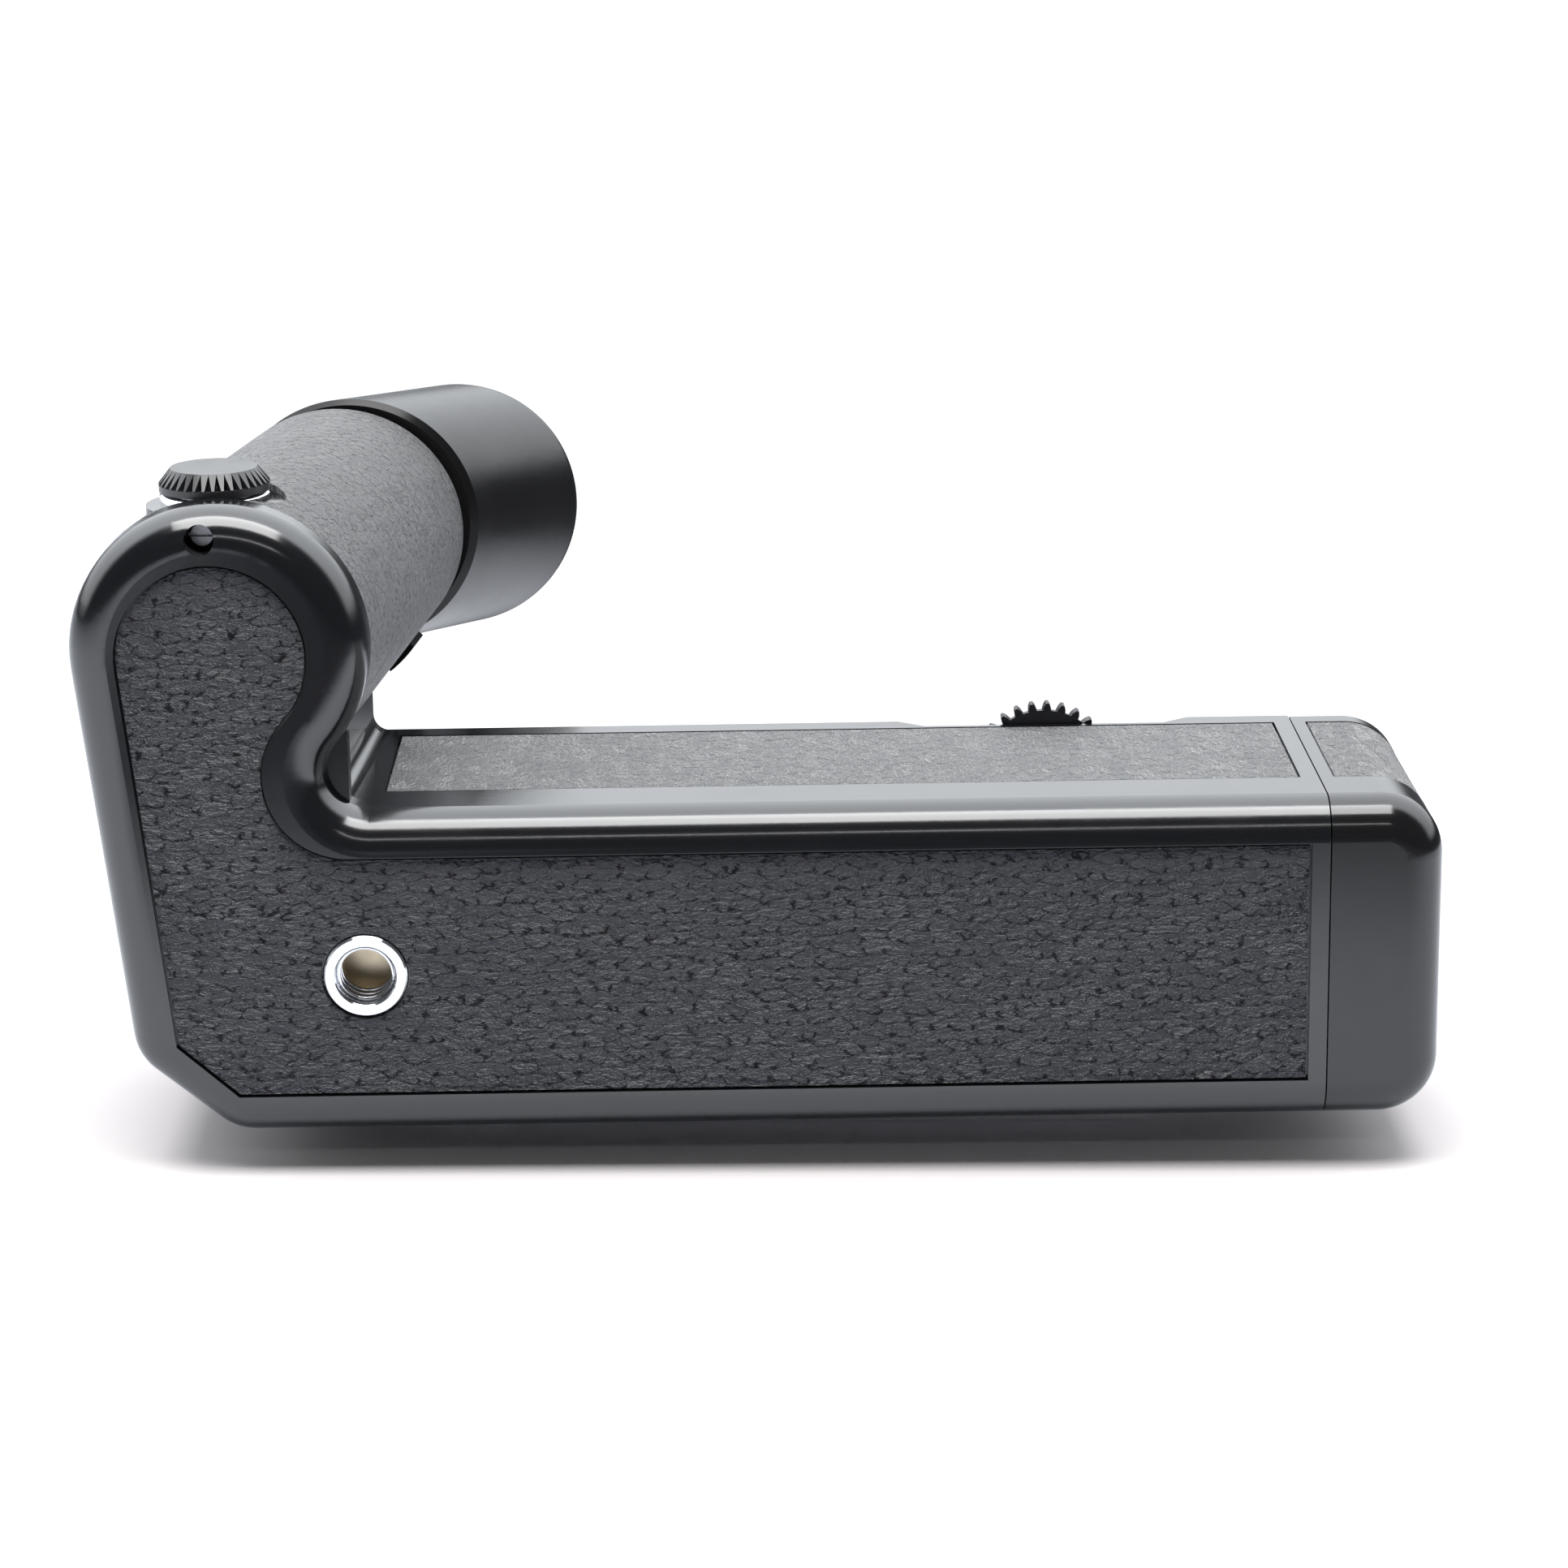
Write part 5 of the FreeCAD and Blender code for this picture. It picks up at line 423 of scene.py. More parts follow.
def grip_rows(tree, place, length, width):
    """Grain coordinates on the leaning grip tube: rows run round it, and step along its axis."""
    parts = tree.nodes.new("ShaderNodeSeparateXYZ")
    tree.links.new(place, parts.inputs["Vector"])
    run = GRIP_TOP[1] - GRIP_FOOT[1]
    along = maths(tree, "SUBTRACT", parts.outputs["Y"], GRIP_FOOT[1])
    middle_x = maths(tree, "MULTIPLY_ADD", along, (GRIP_TOP[0] - GRIP_FOOT[0]) / run, GRIP_FOOT[0])
    middle_z = maths(tree, "MULTIPLY_ADD", along, (GRIP_TOP[2] - GRIP_FOOT[2]) / run, GRIP_FOOT[2])
    turn = maths(tree, "ARCTAN2", maths(tree, "SUBTRACT", parts.outputs["Z"], middle_z),
                 maths(tree, "SUBTRACT", parts.outputs["X"], middle_x))
    rows = tree.nodes.new("ShaderNodeCombineXYZ")
    tree.links.new(maths(tree, "MULTIPLY", turn, GRIP_RADIUS / width), rows.inputs["X"])
    tree.links.new(maths(tree, "DIVIDE", along, length), rows.inputs["Y"])
    return rows.outputs["Vector"]


def leather_material(name, rows, length, width, depth, colour, roughness, lean=1.0, sheen=0.2,
                     shine=0.5):
    """Grained leatherette with painted shade in the creases (darker colour, less reflection), a slow tone
    change and a few dust specks.
    """
    material, tree, shader, place = start_material(name)
    grain = add_group(tree, grain_group(), {"Lean": lean})
    tree.links.new(rows(tree, place, length, width), grain.inputs["Vector"])
    wear = add_group(tree, wear_group())
    tree.links.new(place, wear.inputs["Vector"])
    pale = tuple(min(1.0, channel * 1.3) for channel in colour[:3]) + (1.0,)
    # Colour of the painted shade in the creases.
    deep = tuple(channel * 0.3 for channel in colour[:3]) + (1.0,)
    tone = mix_colours(tree, grain.outputs["Tone"], colour, pale)
    shade = tree.nodes.new("ShaderNodeMix")
    shade.data_type = "RGBA"
    tree.links.new(maths(tree, "MULTIPLY", grain.outputs["Painted crease shade"], 0.95), shade.inputs["Factor"])
    tree.links.new(tone, shade.inputs[6])
    shade.inputs[7].default_value = deep
    dusty = tree.nodes.new("ShaderNodeMix")
    dusty.data_type = "RGBA"
    tree.links.new(maths(tree, "MULTIPLY", wear.outputs["Specks"], 0.5), dusty.inputs["Factor"])
    tree.links.new(shade.outputs[2], dusty.inputs[6])
    dusty.inputs[7].default_value = (0.4, 0.4, 0.42, 1.0)
    tree.links.new(dusty.outputs[2], shader.inputs["Base Color"])
    rough = maths(tree, "MULTIPLY_ADD", grain.outputs["Painted crease shade"], 0.2, roughness)
    tree.links.new(rough, shader.inputs["Roughness"])
    # Painted shade: the creases also reflect less.
    gloss = maths(tree, "MULTIPLY_ADD", grain.outputs["Painted crease shade"], -0.84 * shine, shine)
    tree.links.new(gloss, shader.inputs["Specular IOR Level"])
    shader.inputs["IOR"].default_value = 1.6
    shader.inputs["Sheen Weight"].default_value = sheen
    shader.inputs["Sheen Roughness"].default_value = 0.35
    bump(tree, shader, grain.outputs["Height"], depth)
    return material


def metal_material(name, colour, roughness, brushed=0.0, along=(1.0, 1.0, 1.0), stain=None):
    """Bare or plated metal, brushed along one direction or smooth, with faint stains."""
    material, tree, shader, place = start_material(name)
    shader.inputs["Metallic"].default_value = 1.0
    vector = scaled(tree, place, along)
    lines = add_node(tree, "ShaderNodeTexNoise", {"noise_dimensions": "3D"},
                     {"Scale": 1500.0, "Detail": 3.0, "Roughness": 0.6})
    tree.links.new(vector, lines.inputs["Vector"])
    wear = add_group(tree, wear_group())
    tree.links.new(place, wear.inputs["Vector"])
    tint = stain or tuple(channel * 0.8 for channel in colour[:3]) + (1.0,)
    tree.links.new(mix_colours(tree, wear.outputs["Rubbed"], colour, tint), shader.inputs["Base Color"])
    rough = maths(tree, "MULTIPLY_ADD", lines.outputs["Fac"], 0.1 + brushed * 0.2, roughness)
    tree.links.new(rough, shader.inputs["Roughness"])
    bump(tree, shader, lines.outputs["Fac"], 0.000002 + brushed * 0.00001)
    return material


def threaded_material(name, colour, roughness, pitch, centre, inner=None, inner_from=0.0):
    """Metal with painted shade between the turns of a thread round an axis along Y, tinted inside from a
    depth on.
    """
    material, tree, shader, place = start_material(name)
    shader.inputs["Metallic"].default_value = 1.0
    shift = add_node(tree, "ShaderNodeMapping", {"vector_type": "POINT"},
                     {"Location": (-centre[0], 0.0, -centre[1])})
    tree.links.new(place, shift.inputs["Vector"])
    parts = tree.nodes.new("ShaderNodeSeparateXYZ")
    tree.links.new(shift.outputs["Vector"], parts.inputs["Vector"])
    turn = maths(tree, "ARCTAN2", parts.outputs["Z"], parts.outputs["X"])
    lift = maths(tree, "DIVIDE", parts.outputs["Y"], pitch)
    helix = maths(tree, "MULTIPLY_ADD", turn, 1.0 / (2.0 * math.pi), lift)
    wave = maths(tree, "PINGPONG", helix, 0.5)
    surface = add_node(tree, "ShaderNodeNewGeometry")
    facing = tree.nodes.new("ShaderNodeSeparateXYZ")
    tree.links.new(surface.outputs["Normal"], facing.inputs["Vector"])
    side = ramp_between(tree, maths(tree, "ABSOLUTE", facing.outputs["Y"]), 0.6, 0.3)
    crest = maths(tree, "MULTIPLY", wave, side)
    noise = add_node(tree, "ShaderNodeTexNoise", {"noise_dimensions": "3D"},
                     {"Scale": 900.0, "Detail": 3.0})
    tree.links.new(place, noise.inputs["Vector"])
    # Painted shade: darker colour in the grooves between the thread's turns.
    groove_shade_colour = tuple(channel * 0.55 for channel in colour[:3]) + (1.0,)
    groove_shade = ramp_between(tree, crest, 0.2, 0.0)
    groove_shaded = mix_colours(tree, maths(tree, "MULTIPLY", groove_shade, side), colour, groove_shade_colour)
    rough = maths(tree, "MULTIPLY_ADD", noise.outputs["Fac"], 0.15, roughness)
    if inner:
        within = ramp_between(tree, parts.outputs["Y"], inner_from, inner_from + 0.0004)
        tinted = mix_colours(tree, within, colour, inner)
        tree.links.new(groove_shaded, tinted.node.inputs[6])
        tree.links.new(tinted, shader.inputs["Base Color"])
        rough = maths(tree, "MULTIPLY_ADD", within, 0.22, rough)
    else:
        tree.links.new(groove_shaded, shader.inputs["Base Color"])
    tree.links.new(rough, shader.inputs["Roughness"])
    return material


def dress(node, material):
    """Give a CAD node one material."""
    slots = NODES[node].data.materials
    slots.clear()
    slots.append(material)


def ridge_group():
    """A coiled three-sided ridge round an axis along Y, as Geometry Nodes."""
    known = bpy.data.node_groups.get("thread_ridge")
    if known:
        return known
    group = bpy.data.node_groups.new("thread_ridge", "GeometryNodeTree")
    for title, kind in (("Pitch", "Float"), ("Length", "Float"), ("Radius", "Float"), ("Ridge", "Float"),
                        ("Turn", "Vector"), ("Place", "Vector"), ("Material", "Material")):
        group.interface.new_socket(name=title, in_out="INPUT", socket_type="NodeSocket" + kind)
    group.interface.new_socket(name="Geometry", in_out="OUTPUT", socket_type="NodeSocketGeometry")
    given = group.nodes.new("NodeGroupInput")
    result = group.nodes.new("NodeGroupOutput")
    links = group.links
    coil = add_node(group, "GeometryNodeCurveSpiral", None, {"Resolution": 40})
    turns = maths(group, "DIVIDE", given.outputs["Length"], given.outputs["Pitch"])
    links.new(turns, coil.inputs["Rotations"])
    links.new(given.outputs["Radius"], coil.inputs["Start Radius"])
    links.new(given.outputs["Radius"], coil.inputs["End Radius"])
    links.new(given.outputs["Length"], coil.inputs["Height"])
    level = add_node(group, "GeometryNodeSetCurveNormal", {"mode": "Z_UP"})
    links.new(coil.outputs["Curve"], level.inputs["Curve"])
    section = add_node(group, "GeometryNodeCurvePrimitiveCircle", None, {"Resolution": 3})
    links.new(given.outputs["Ridge"], section.inputs["Radius"])
    turned = group.nodes.new("GeometryNodeTransform")
    links.new(section.outputs["Curve"], turned.inputs["Geometry"])
    links.new(given.outputs["Turn"], turned.inputs["Rotation"])
    sweep = add_node(group, "GeometryNodeCurveToMesh", None, {"Fill Caps": True})
    links.new(level.outputs["Curve"], sweep.inputs["Curve"])
    links.new(turned.outputs["Geometry"], sweep.inputs["Profile Curve"])
    placed = add_node(group, "GeometryNodeTransform", None, {"Rotation": (-math.pi / 2, 0.0, 0.0)})
    links.new(sweep.outputs["Mesh"], placed.inputs["Geometry"])
    links.new(given.outputs["Place"], placed.inputs["Translation"])
    real = group.nodes.new("GeometryNodeRealizeInstances")
    links.new(placed.outputs["Geometry"], real.inputs["Geometry"])
    dressed = group.nodes.new("GeometryNodeSetMaterial")
    links.new(real.outputs["Geometry"], dressed.inputs["Geometry"])
    links.new(given.outputs["Material"], dressed.inputs["Material"])
    links.new(dressed.outputs["Geometry"], result.inputs["Geometry"])
    return group


def slim_stem(node, name, material, centre, start, radius):
    """A clean copy of a node, slimmed to a radius from a level on, which then stands for it."""
    source = NODES[node]
    mesh = bmesh.new()
    mesh.from_mesh(source.data)
    bmesh.ops.remove_doubles(mesh, verts=mesh.verts, dist=SAME_POINT)
    for corner in mesh.verts:
        out = math.hypot(corner.co.x - centre[0], corner.co.z - centre[1])
        if corner.co.y > start - SAME_LEVEL and out > radius:
            corner.co.x = centre[0] + (corner.co.x - centre[0]) * radius / out
            corner.co.z = centre[1] + (corner.co.z - centre[1]) * radius / out
    slim = bpy.data.meshes.new(name)
    mesh.to_mesh(slim)
    mesh.free()
    slim.materials.append(material)
    stem = bpy.data.objects.new(name, slim)
    bpy.context.scene.collection.objects.link(stem)
    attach(stem, source["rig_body"])
    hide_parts(node)


def thread_ridge(name, body, material, values):
    """A thread ridge as one mesh that rides on a body."""
    group = ridge_group()
    seed = bpy.data.objects.new(name + "_seed", bpy.data.meshes.new(name + "_seed"))
    bpy.context.scene.collection.objects.link(seed)
    step = seed.modifiers.new("ridge", "NODES")
    step.node_group = group
    for item in group.interface.items_tree:
        if item.in_out == "INPUT" and item.name in values:
            step[item.identifier] = values[item.name]
        elif item.in_out == "INPUT" and item.name == "Material":
            step[item.identifier] = material
    seed.update_tag()
    bpy.context.view_layer.update()
    ready = seed.evaluated_get(bpy.context.evaluated_depsgraph_get())
    mesh = bpy.data.meshes.new_from_object(ready)
    mesh.name = name
    bpy.data.objects.remove(seed)
    ridge = bpy.data.objects.new(name, mesh)
    bpy.context.scene.collection.objects.link(ridge)
    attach(ridge, body)


class MOTORDRIVE_OT_housing(bpy.types.Operator):
    """Enamel on the base casting and its top plate"""

    bl_idname = "motor_drive.housing"
    bl_label = "Housing"

    def execute(self, context):
        look = finish_settings()
        enamel = coated_material("black_enamel", tuple(look.paint_colour), look.paint_roughness, 0.05, 1.75)
        for node in ("base_shell", "top_plate"):
            dress(node, enamel)
        return {"FINISHED"}


class MOTORDRIVE_OT_leathers(bpy.types.Operator):
    """Grained covering on the base, the end cap and the grip"""

    bl_idname = "motor_drive.leathers"
    bl_label = "Leather"

    def execute(self, context):
        look = finish_settings()
        colour = tuple(look.leather_colour)
        flat = leather_material("leather_panels", panel_rows, look.grain_length, look.grain_width,
                                look.grain_depth, colour, look.leather_roughness)
        for node in ("bottom_leather", "rear_leather"):
            dress(node, flat)
        strip = leather_material("leather_strip", strip_rows, look.grain_length * 1.1, look.grain_width,
                                 look.grain_depth * 1.7, colour, look.leather_roughness * 0.8, 0.9, 0.8, 1.0)
        for node in ("front_leather", "end_cap_leather"):
            dress(node, strip)
        grip = leather_material("leather_grip", grip_rows, look.grip_grain * 2.2, look.grip_grain,
                                look.grain_depth * 2.2, colour, look.leather_roughness * 0.9, 0.9, 0.5, 0.7)
        dress("grip_leather", grip)
        return {"FINISHED"}


class MOTORDRIVE_OT_grip(bpy.types.Operator):
    """Mouldings of the grip and the end cap"""

    bl_idname = "motor_drive.grip"
    bl_label = "Mouldings"

    def execute(self, context):
        look = finish_settings()
        black = tuple(look.plastic_colour)
        gloss = coated_material("black_moulding", black, look.plastic_roughness, 0.06, 1.62)
        for node in ("end_cap", "terminal_seat", "grip_rest_pad"):
            dress(node, gloss)
        dress("grip_head", coated_material("head_moulding", black, 0.22, 0.05, 1.36))
        matt = coated_material("matt_moulding", (0.02, 0.02, 0.022, 1.0), 0.5, 0.1,
                               ripple=2500.0, depth=0.00001)
        for node in ("grip_core", "switch_plate", "release_switch", "terminal_insulator", "motor_end_bell",
                     "board_components", "contact_block", "battery_contact_board", "battery_holder"):
            dress(node, matt)
        return {"FINISHED"}


class MOTORDRIVE_OT_controls(bpy.types.Operator):
    """Release button, mode ring, terminal, thumbwheel and latch"""

    bl_idname = "motor_drive.controls"
    bl_label = "Controls"

    def execute(self, context):
        chrome = metal_material("bright_chrome", (0.86, 0.86, 0.88, 1.0), 0.05, stain=(0.8, 0.8, 0.82, 1.0))
        for node in ("release_button", "terminal_ring"):
            dress(node, chrome)
        anodised = metal_material("black_anodised", (0.03, 0.03, 0.032, 1.0), 0.3, 0.3)
        for node in ("mode_ring", "drawer_latch"):
            dress(node, anodised)
        dress("terminal_cap", coated_material("cap_moulding", (0.025, 0.025, 0.027, 1.0), 0.3, 0.1, 1.7))
        blued = metal_material("blackened_steel", (0.06, 0.06, 0.064, 1.0), 0.32, 0.3)
        for node in ("thumbwheel", "top_plate_screws"):
            dress(node, blued)
        rubber = coated_material("seal_rubber", (0.02, 0.02, 0.02, 1.0), 0.7, 0.1)
        dress("terminal_cap_seal", rubber)
        return {"FINISHED"}


class MOTORDRIVE_OT_threads(bpy.types.Operator):
    """Threads of the tripod bush and the camera screw"""

    bl_idname = "motor_drive.threads"
    bl_label = "Threads"

    def execute(self, context):
        look = thread_settings()
        cut = look.ridge
        bush = threaded_material("bush_chrome", (0.76, 0.77, 0.79, 1.0), 0.06, look.camera_pitch,
                                 TRIPOD_CENTRE, (0.8, 0.68, 0.5, 1.0), TRIPOD_TINT_START)
        dress("tripod_bush", bush)
        thread_ridge("tripod_thread", NODES["tripod_bush"]["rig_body"], bush, {
            "Pitch": look.camera_pitch, "Length": TRIPOD_THREAD_LENGTH,
            "Radius": TRIPOD_RIDGE_FOOT - cut / 2, "Ridge": cut, "Turn": (0.0, 0.0, math.pi),
            "Place": (TRIPOD_CENTRE[0], TRIPOD_THREAD_START, TRIPOD_CENTRE[1])})
        low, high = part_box("camera_screw")
        centre = ((low.x + high.x) / 2, (low.z + high.z) / 2)
        stud = threaded_material("screw_steel", (0.42, 0.42, 0.43, 1.0), 0.25, look.camera_pitch, centre)
        slim_stem("camera_screw", "camera_screw_slim", stud, centre, SCREW_THREAD_START,
                  SCREW_RADIUS - 1.5 * cut)
        thread_ridge("camera_thread", NODES["camera_screw"]["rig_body"], stud, {
            "Pitch": look.camera_pitch, "Length": SCREW_THREAD_LENGTH, "Radius": SCREW_RADIUS - cut,
            "Ridge": cut, "Turn": (0.0, 0.0, 0.0),
            "Place": (centre[0], SCREW_THREAD_START + SCREW_THREAD_LEAD, centre[1])})
        return {"FINISHED"}


class MOTORDRIVE_OT_works(bpy.types.Operator):
    """Motor, gears, screws and electrical parts inside"""

    bl_idname = "motor_drive.works"
    bl_label = "Works"

    def execute(self, context):
        steel = metal_material("plain_steel", (0.5, 0.5, 0.52, 1.0), 0.25, 0.5, (1.0, 0.08, 1.0))
        for node in ("switch_screws", "button_spring", "thumbwheel_axle", "lower_gear_plate",
                     "upper_gear_plate", "gearbox_screws", "gear_axles", "motor_can", "motor_rotor",
                     "contact_pin_springs", "drive_coupling", "grip_screws", "arm_screw",
                     "locating_pins", "drawer_latch_springs"):
            dress(node, steel)
        brass = metal_material("turned_brass", (0.62, 0.43, 0.18, 1.0), 0.22, 0.4, (1.0, 0.1, 1.0))
        for node in ("terminal_pins", "drive_bush", "gear_plate_posts", "motor_pinion",
                     "first_reduction_gear", "second_reduction_gear", "coupling_gear", "contact_pin_1",
                     "contact_pin_2", "contact_pin_3", "battery_leaf_springs", "battery_contacts"):
            dress(node, brass)
        magnet = coated_material("sintered_magnet", (0.05, 0.05, 0.052, 1.0), 0.6, 0.1)
        dress("motor_magnets", magnet)
        dress("aa_cells", metal_material("cell_jacket", (0.3, 0.3, 0.32, 1.0), 0.3, 0.2))
        dress("circuit_board", coated_material("green_board", (0.02, 0.1, 0.04, 1.0), 0.4, 0.1))
        return {"FINISHED"}


def aim(thing, place, target):
    """Point a light from a place at a target."""
    back = (Vector(place) - Vector(target)).normalized()
    turn = back.to_track_quat("Z", "Y")
    thing.matrix_world = Matrix.Translation(place) @ turn.to_matrix().to_4x4()


def softbox(name, place, target, size, power):
    """A rectangular light."""
    lamp = bpy.data.lights.new(name, "AREA")
    lamp.shape = "RECTANGLE"
    lamp.size, lamp.size_y = size
    lamp.energy = power
    thing = bpy.data.objects.new(name, lamp)
    bpy.context.scene.collection.objects.link(thing)
    aim(thing, place, target)


def photo_camera(lens):
    """The camera of the photograph."""
    data = bpy.data.cameras.new("camera")
    thing = bpy.data.objects.new("camera", data)
    bpy.context.scene.collection.objects.link(thing)
    data.sensor_width = 36.0
    data.lens = lens
    data.clip_start = 0.01
    data.clip_end = 50.0
    elevation, azimuth, roll = (math.radians(angle) for angle in CAMERA_ANGLES)
    forward = Vector((math.sin(azimuth) * math.cos(elevation), math.cos(azimuth) * math.cos(elevation),
                      -math.sin(elevation)))
    level = Vector((math.cos(azimuth), -math.sin(azimuth), 0.0))
    rise = level.cross(forward)
    right = math.cos(roll) * level + math.sin(roll) * rise
    above = -math.sin(roll) * level + math.cos(roll) * rise
    turn = Matrix((right, above, -forward)).transposed().to_4x4()
    thing.matrix_world = Matrix.Translation(Vector(CAMERA_TARGET) - forward * CAMERA_DISTANCE) @ turn
    bpy.context.scene.camera = thing


def paper_world(room_level, fill_level, sky_level):
    """White walls and ceiling behind the object, a dim room behind the camera, and white for the camera."""
    world = bpy.data.worlds.new("paper_room")
    bpy.context.scene.world = world
    world.use_nodes = True
    tree = world.node_tree
    tree.nodes.clear()
    output = tree.nodes.new("ShaderNodeOutputWorld")
    surface = tree.nodes.new("ShaderNodeBackground")
    tree.links.new(surface.outputs["Background"], output.inputs["Surface"])
    place = tree.nodes.new("ShaderNodeTexCoord")
    parts = tree.nodes.new("ShaderNodeSeparateXYZ")
    tree.links.new(place.outputs["Generated"], parts.inputs["Vector"])
    back = ramp_between(tree, parts.outputs["Y"], -0.2, 0.1)
    skirting = ramp_between(tree, parts.outputs["Z"], 0.03, 0.2)
    climb = maths(tree, "MULTIPLY_ADD", ramp_between(tree, parts.outputs["Z"], 0.1, 0.95), 0.45, 0.55)
    sky = maths(tree, "MULTIPLY", maths(tree, "MULTIPLY", climb, skirting), back)
    path = tree.nodes.new("ShaderNodeLightPath")
    glossy = path.outputs["Is Glossy Ray"]
    room = maths(tree, "MULTIPLY_ADD", glossy, room_level - fill_level, fill_level)
    shown = maths(tree, "MULTIPLY_ADD", glossy, 0.45, 0.55)
    level = maths(tree, "MULTIPLY_ADD", maths(tree, "MULTIPLY", sky, shown), sky_level, room)
    strength = maths(tree, "MAXIMUM", level, path.outputs["Is Camera Ray"])
    tree.links.new(strength, surface.inputs["Strength"])
    tint = mix_colours(tree, path.outputs["Is Camera Ray"], (0.93, 0.965, 1.0, 1.0), WHITE)
    tree.links.new(tint, surface.inputs["Color"])


def paper_floor(size, gap, tilt):
    """White paper, white to the camera except where the object shades it, with painted shade darkening it
    away from the object, though not to the left, in reflections and bounced light, and a hidden paper wedge.
    """
    left, right, front, back = (-66.0 * MM, 72.0 * MM, -38.0 * MM, -29.0 * MM)
    slope = math.tan(tilt)

    def level(x):
        return -gap - slope * (x - left)

    half = size / 2
    mesh = bpy.data.meshes.new("paper_floor")
    rim = [(-half, -half), (half, -half), (half, half), (-half, half)]
    mesh.from_pydata([(x, y, level(x)) for x, y in rim], [], [(0, 1, 2, 3)])
    floor = bpy.data.objects.new("paper_floor", mesh)
    inset = 30.0 * MM
    corners = [(x, y, level(x)) for x in (left + inset, right - inset) for y in (front, back)]
    corners += [(x, y, 0.0) for x, y, z in corners]
    wedge_mesh = bpy.data.meshes.new("paper_wedge")
    sides = [(0, 1, 3, 2), (4, 6, 7, 5), (0, 2, 6, 4), (1, 5, 7, 3), (0, 4, 5, 1), (2, 3, 7, 6)]
    wedge_mesh.from_pydata(corners, [], sides)
    wedge = bpy.data.objects.new("paper_wedge", wedge_mesh)
    material = bpy.data.materials.new("white_paper")
    material.use_nodes = True
    tree = material.node_tree
    tree.nodes.clear()
    output = tree.nodes.new("ShaderNodeOutputMaterial")
    matt = tree.nodes.new("ShaderNodeBsdfDiffuse")
    glow = add_node(tree, "ShaderNodeEmission", None, {"Color": WHITE})
    both = tree.nodes.new("ShaderNodeAddShader")
    place = tree.nodes.new("ShaderNodeTexCoord")
    parts = tree.nodes.new("ShaderNodeSeparateXYZ")
    tree.links.new(place.outputs["Object"], parts.inputs["Vector"])
    side_x = maths(tree, "SUBTRACT", maths(tree, "ABSOLUTE", parts.outputs["X"]), PART_HALF_WIDTH)
    away_x = maths(tree, "MULTIPLY", side_x, 0.5)
    in_front = maths(tree, "MULTIPLY_ADD", parts.outputs["Y"], -1.0, -PART_HALF_DEPTH)
    behind = maths(tree, "MULTIPLY", maths(tree, "SUBTRACT", parts.outputs["Y"], PART_HALF_DEPTH), 1.7)
    away_y = maths(tree, "MAXIMUM", in_front, behind)
    wide = maths(tree, "POWER", maths(tree, "MAXIMUM", away_x, 0.0), 2.0)
    deep = maths(tree, "POWER", maths(tree, "MAXIMUM", away_y, 0.0), 2.0)
    away = maths(tree, "SQRT", maths(tree, "ADD", wide, deep))
    # Painted shade: the paper darkens away from the object, except on the left.
    left_side = ramp_between(tree, parts.outputs["X"], *PAPER_LEFT)
    elsewhere = maths(tree, "SUBTRACT", 1.0, left_side)
    far_shade = maths(tree, "MULTIPLY", ramp_between(tree, away, *PAPER_FADE), elsewhere)
    path = tree.nodes.new("ShaderNodeLightPath")
    paper = mix_colours(tree, path.outputs["Is Camera Ray"], PAPER_LIT, PAPER_SEEN)
    faded = mix_colours(tree, far_shade, PAPER_LIT, PAPER_FAR_SHADE)
    tree.links.new(paper, faded.node.inputs[6])
    tree.links.new(faded, matt.inputs["Color"])
    plain_paper = ramp_between(tree, maths(tree, "MAXIMUM", away, side_x), *PAPER_GLOW)
    shining = maths(tree, "MULTIPLY", path.outputs["Is Camera Ray"], plain_paper)
    tree.links.new(shining, glow.inputs["Strength"])
    tree.links.new(matt.outputs[0], both.inputs[0])
    tree.links.new(glow.outputs[0], both.inputs[1])
    tree.links.new(both.outputs[0], output.inputs["Surface"])
    for thing in (floor, wedge):
        thing.data.materials.append(material)
        bpy.context.scene.collection.objects.link(thing)


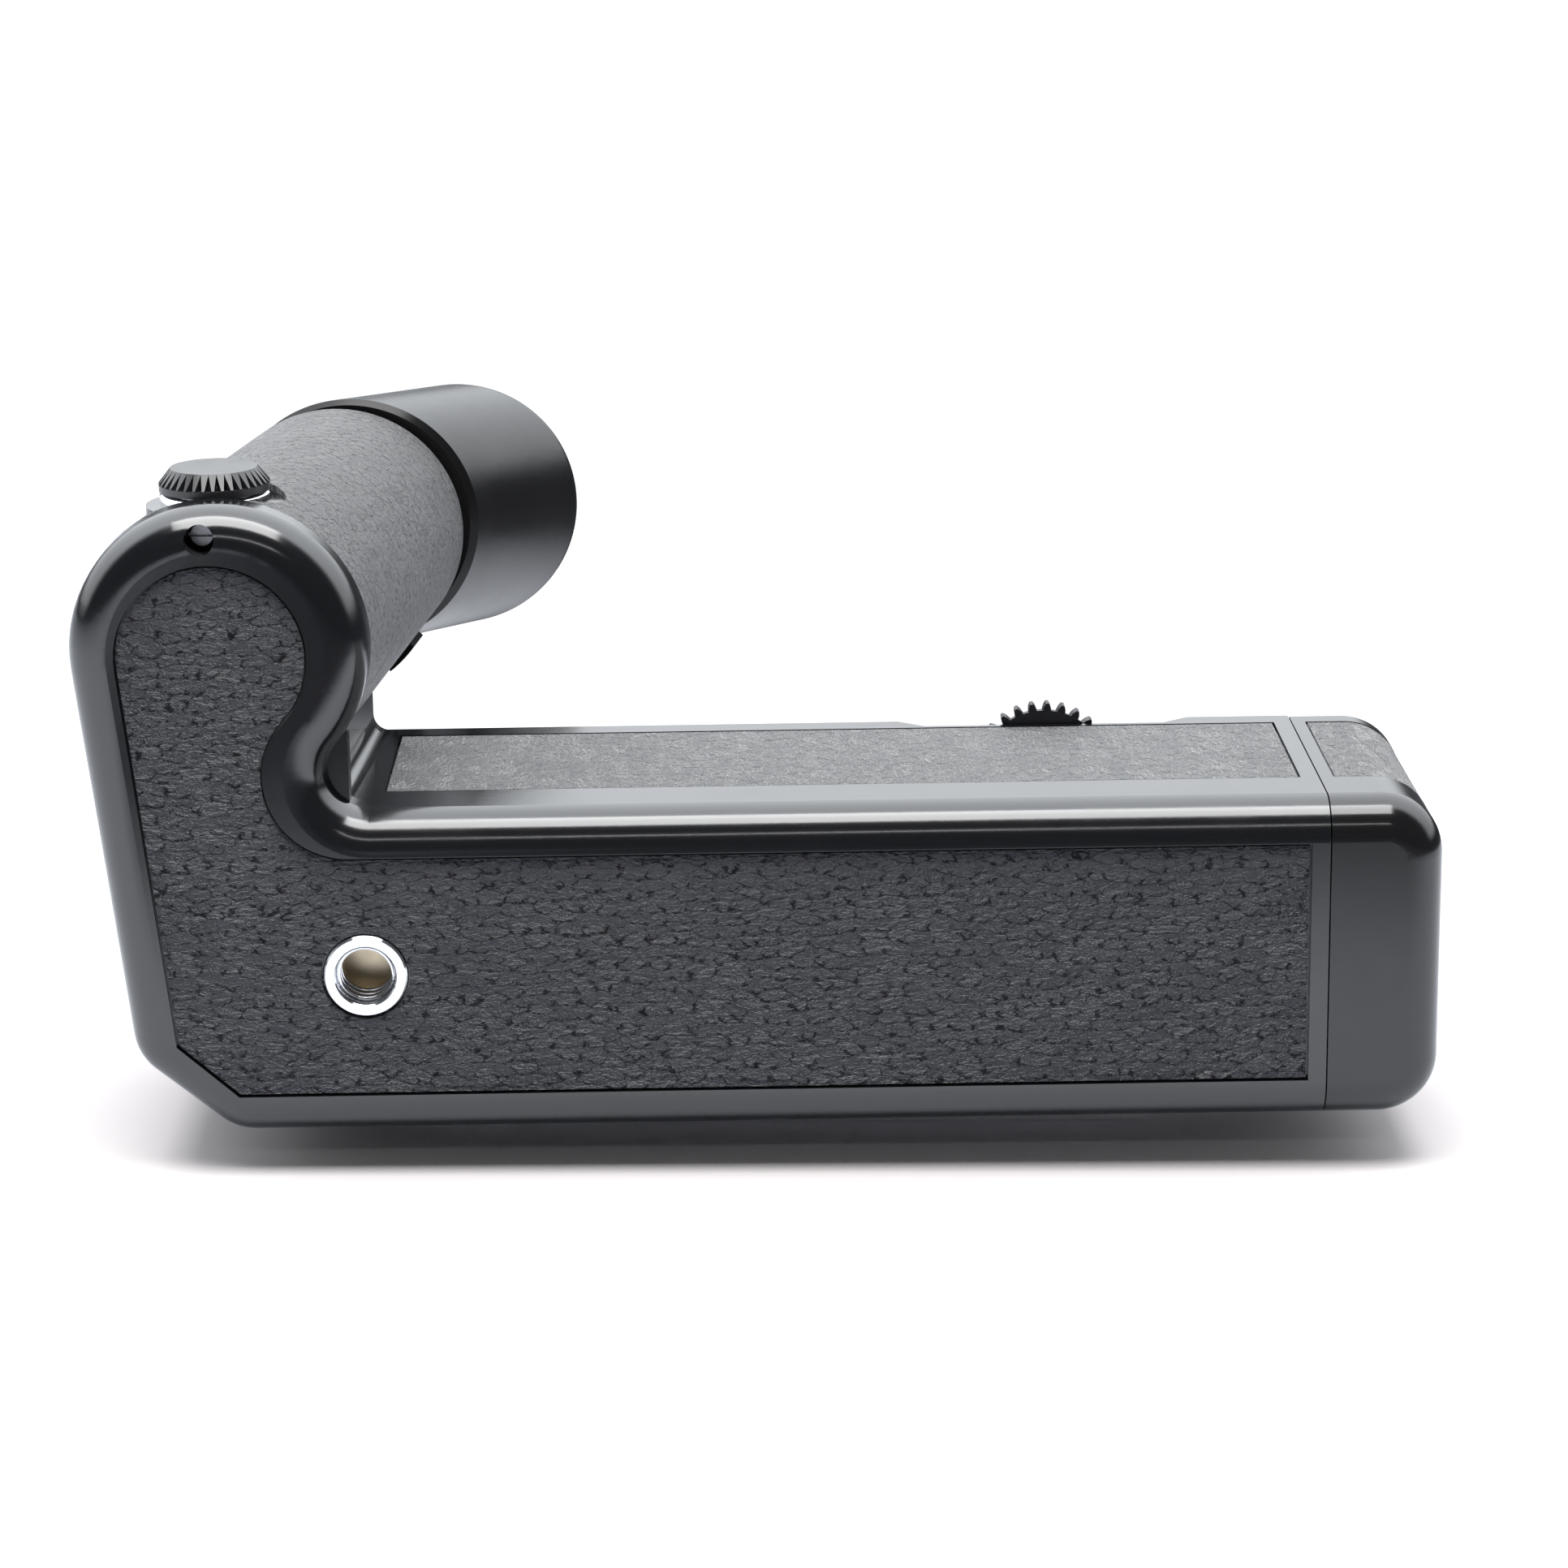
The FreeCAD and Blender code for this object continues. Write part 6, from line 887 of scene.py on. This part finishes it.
class MOTORDRIVE_OT_stage(bpy.types.Operator):
    """White paper, soft overhead light and the camera of the photograph"""

    bl_idname = "motor_drive.stage"
    bl_label = "Stage"

    def execute(self, context):
        look = stage_settings()
        scene = context.scene
        scene.view_settings.view_transform = "Standard"
        paper_world(look.room_level, look.fill_level, look.sky_level)
        paper_floor(look.floor_size, look.floor_gap, look.floor_tilt)
        under = SOFTBOX_PLACE[:2] + (0.0,)
        softbox("overhead", SOFTBOX_PLACE, under, SOFTBOX_SIZE, look.softbox_power)
        softbox("front_strip", STRIP_PLACE, STRIP_TARGET, STRIP_SIZE, look.strip_power)
        photo_camera(look.lens)
        return {"FINISHED"}


OPERATORS = [
    MOTORDRIVE_OT_stage, MOTORDRIVE_OT_housing, MOTORDRIVE_OT_leathers, MOTORDRIVE_OT_grip,
    MOTORDRIVE_OT_controls, MOTORDRIVE_OT_threads, MOTORDRIVE_OT_works,
]


class MOTORDRIVE_PT_panel(bpy.types.Panel):
    """Lists the pieces and their settings"""

    bl_idname = "MOTORDRIVE_PT_panel"
    bl_label = "Motor drive"
    bl_space_type = "VIEW_3D"
    bl_region_type = "UI"
    bl_category = "Motor Drive"

    def draw(self, context):
        layout = self.layout
        for settings in (finish_settings(), thread_settings(), stage_settings()):
            for name in settings.__annotations__:
                layout.prop(settings, name)
        for operator in OPERATORS:
            layout.operator(operator.bl_idname)


SETTINGS = {
    "motor_drive_finish": MotorDriveFinish,
    "motor_drive_thread": MotorDriveThread,
    "motor_drive_stage": MotorDriveStage,
}
CLASSES = list(SETTINGS.values()) + OPERATORS + [MOTORDRIVE_PT_panel]


def register():
    """Register the classes and hang the settings on the scene."""
    for item in CLASSES:
        bpy.utils.register_class(item)
    for name, group in SETTINGS.items():
        setattr(bpy.types.Scene, name, bpy.props.PointerProperty(type=group))


def unregister():
    """Take the settings and classes away again."""
    for name in SETTINGS:
        delattr(bpy.types.Scene, name)
    for item in reversed(CLASSES):
        bpy.utils.unregister_class(item)


def main():
    """Build every piece in order."""
    register()
    for operator in OPERATORS:
        group, name = operator.bl_idname.split(".")
        getattr(getattr(bpy.ops, group), name)()


if __name__ == "__main__":
    main()
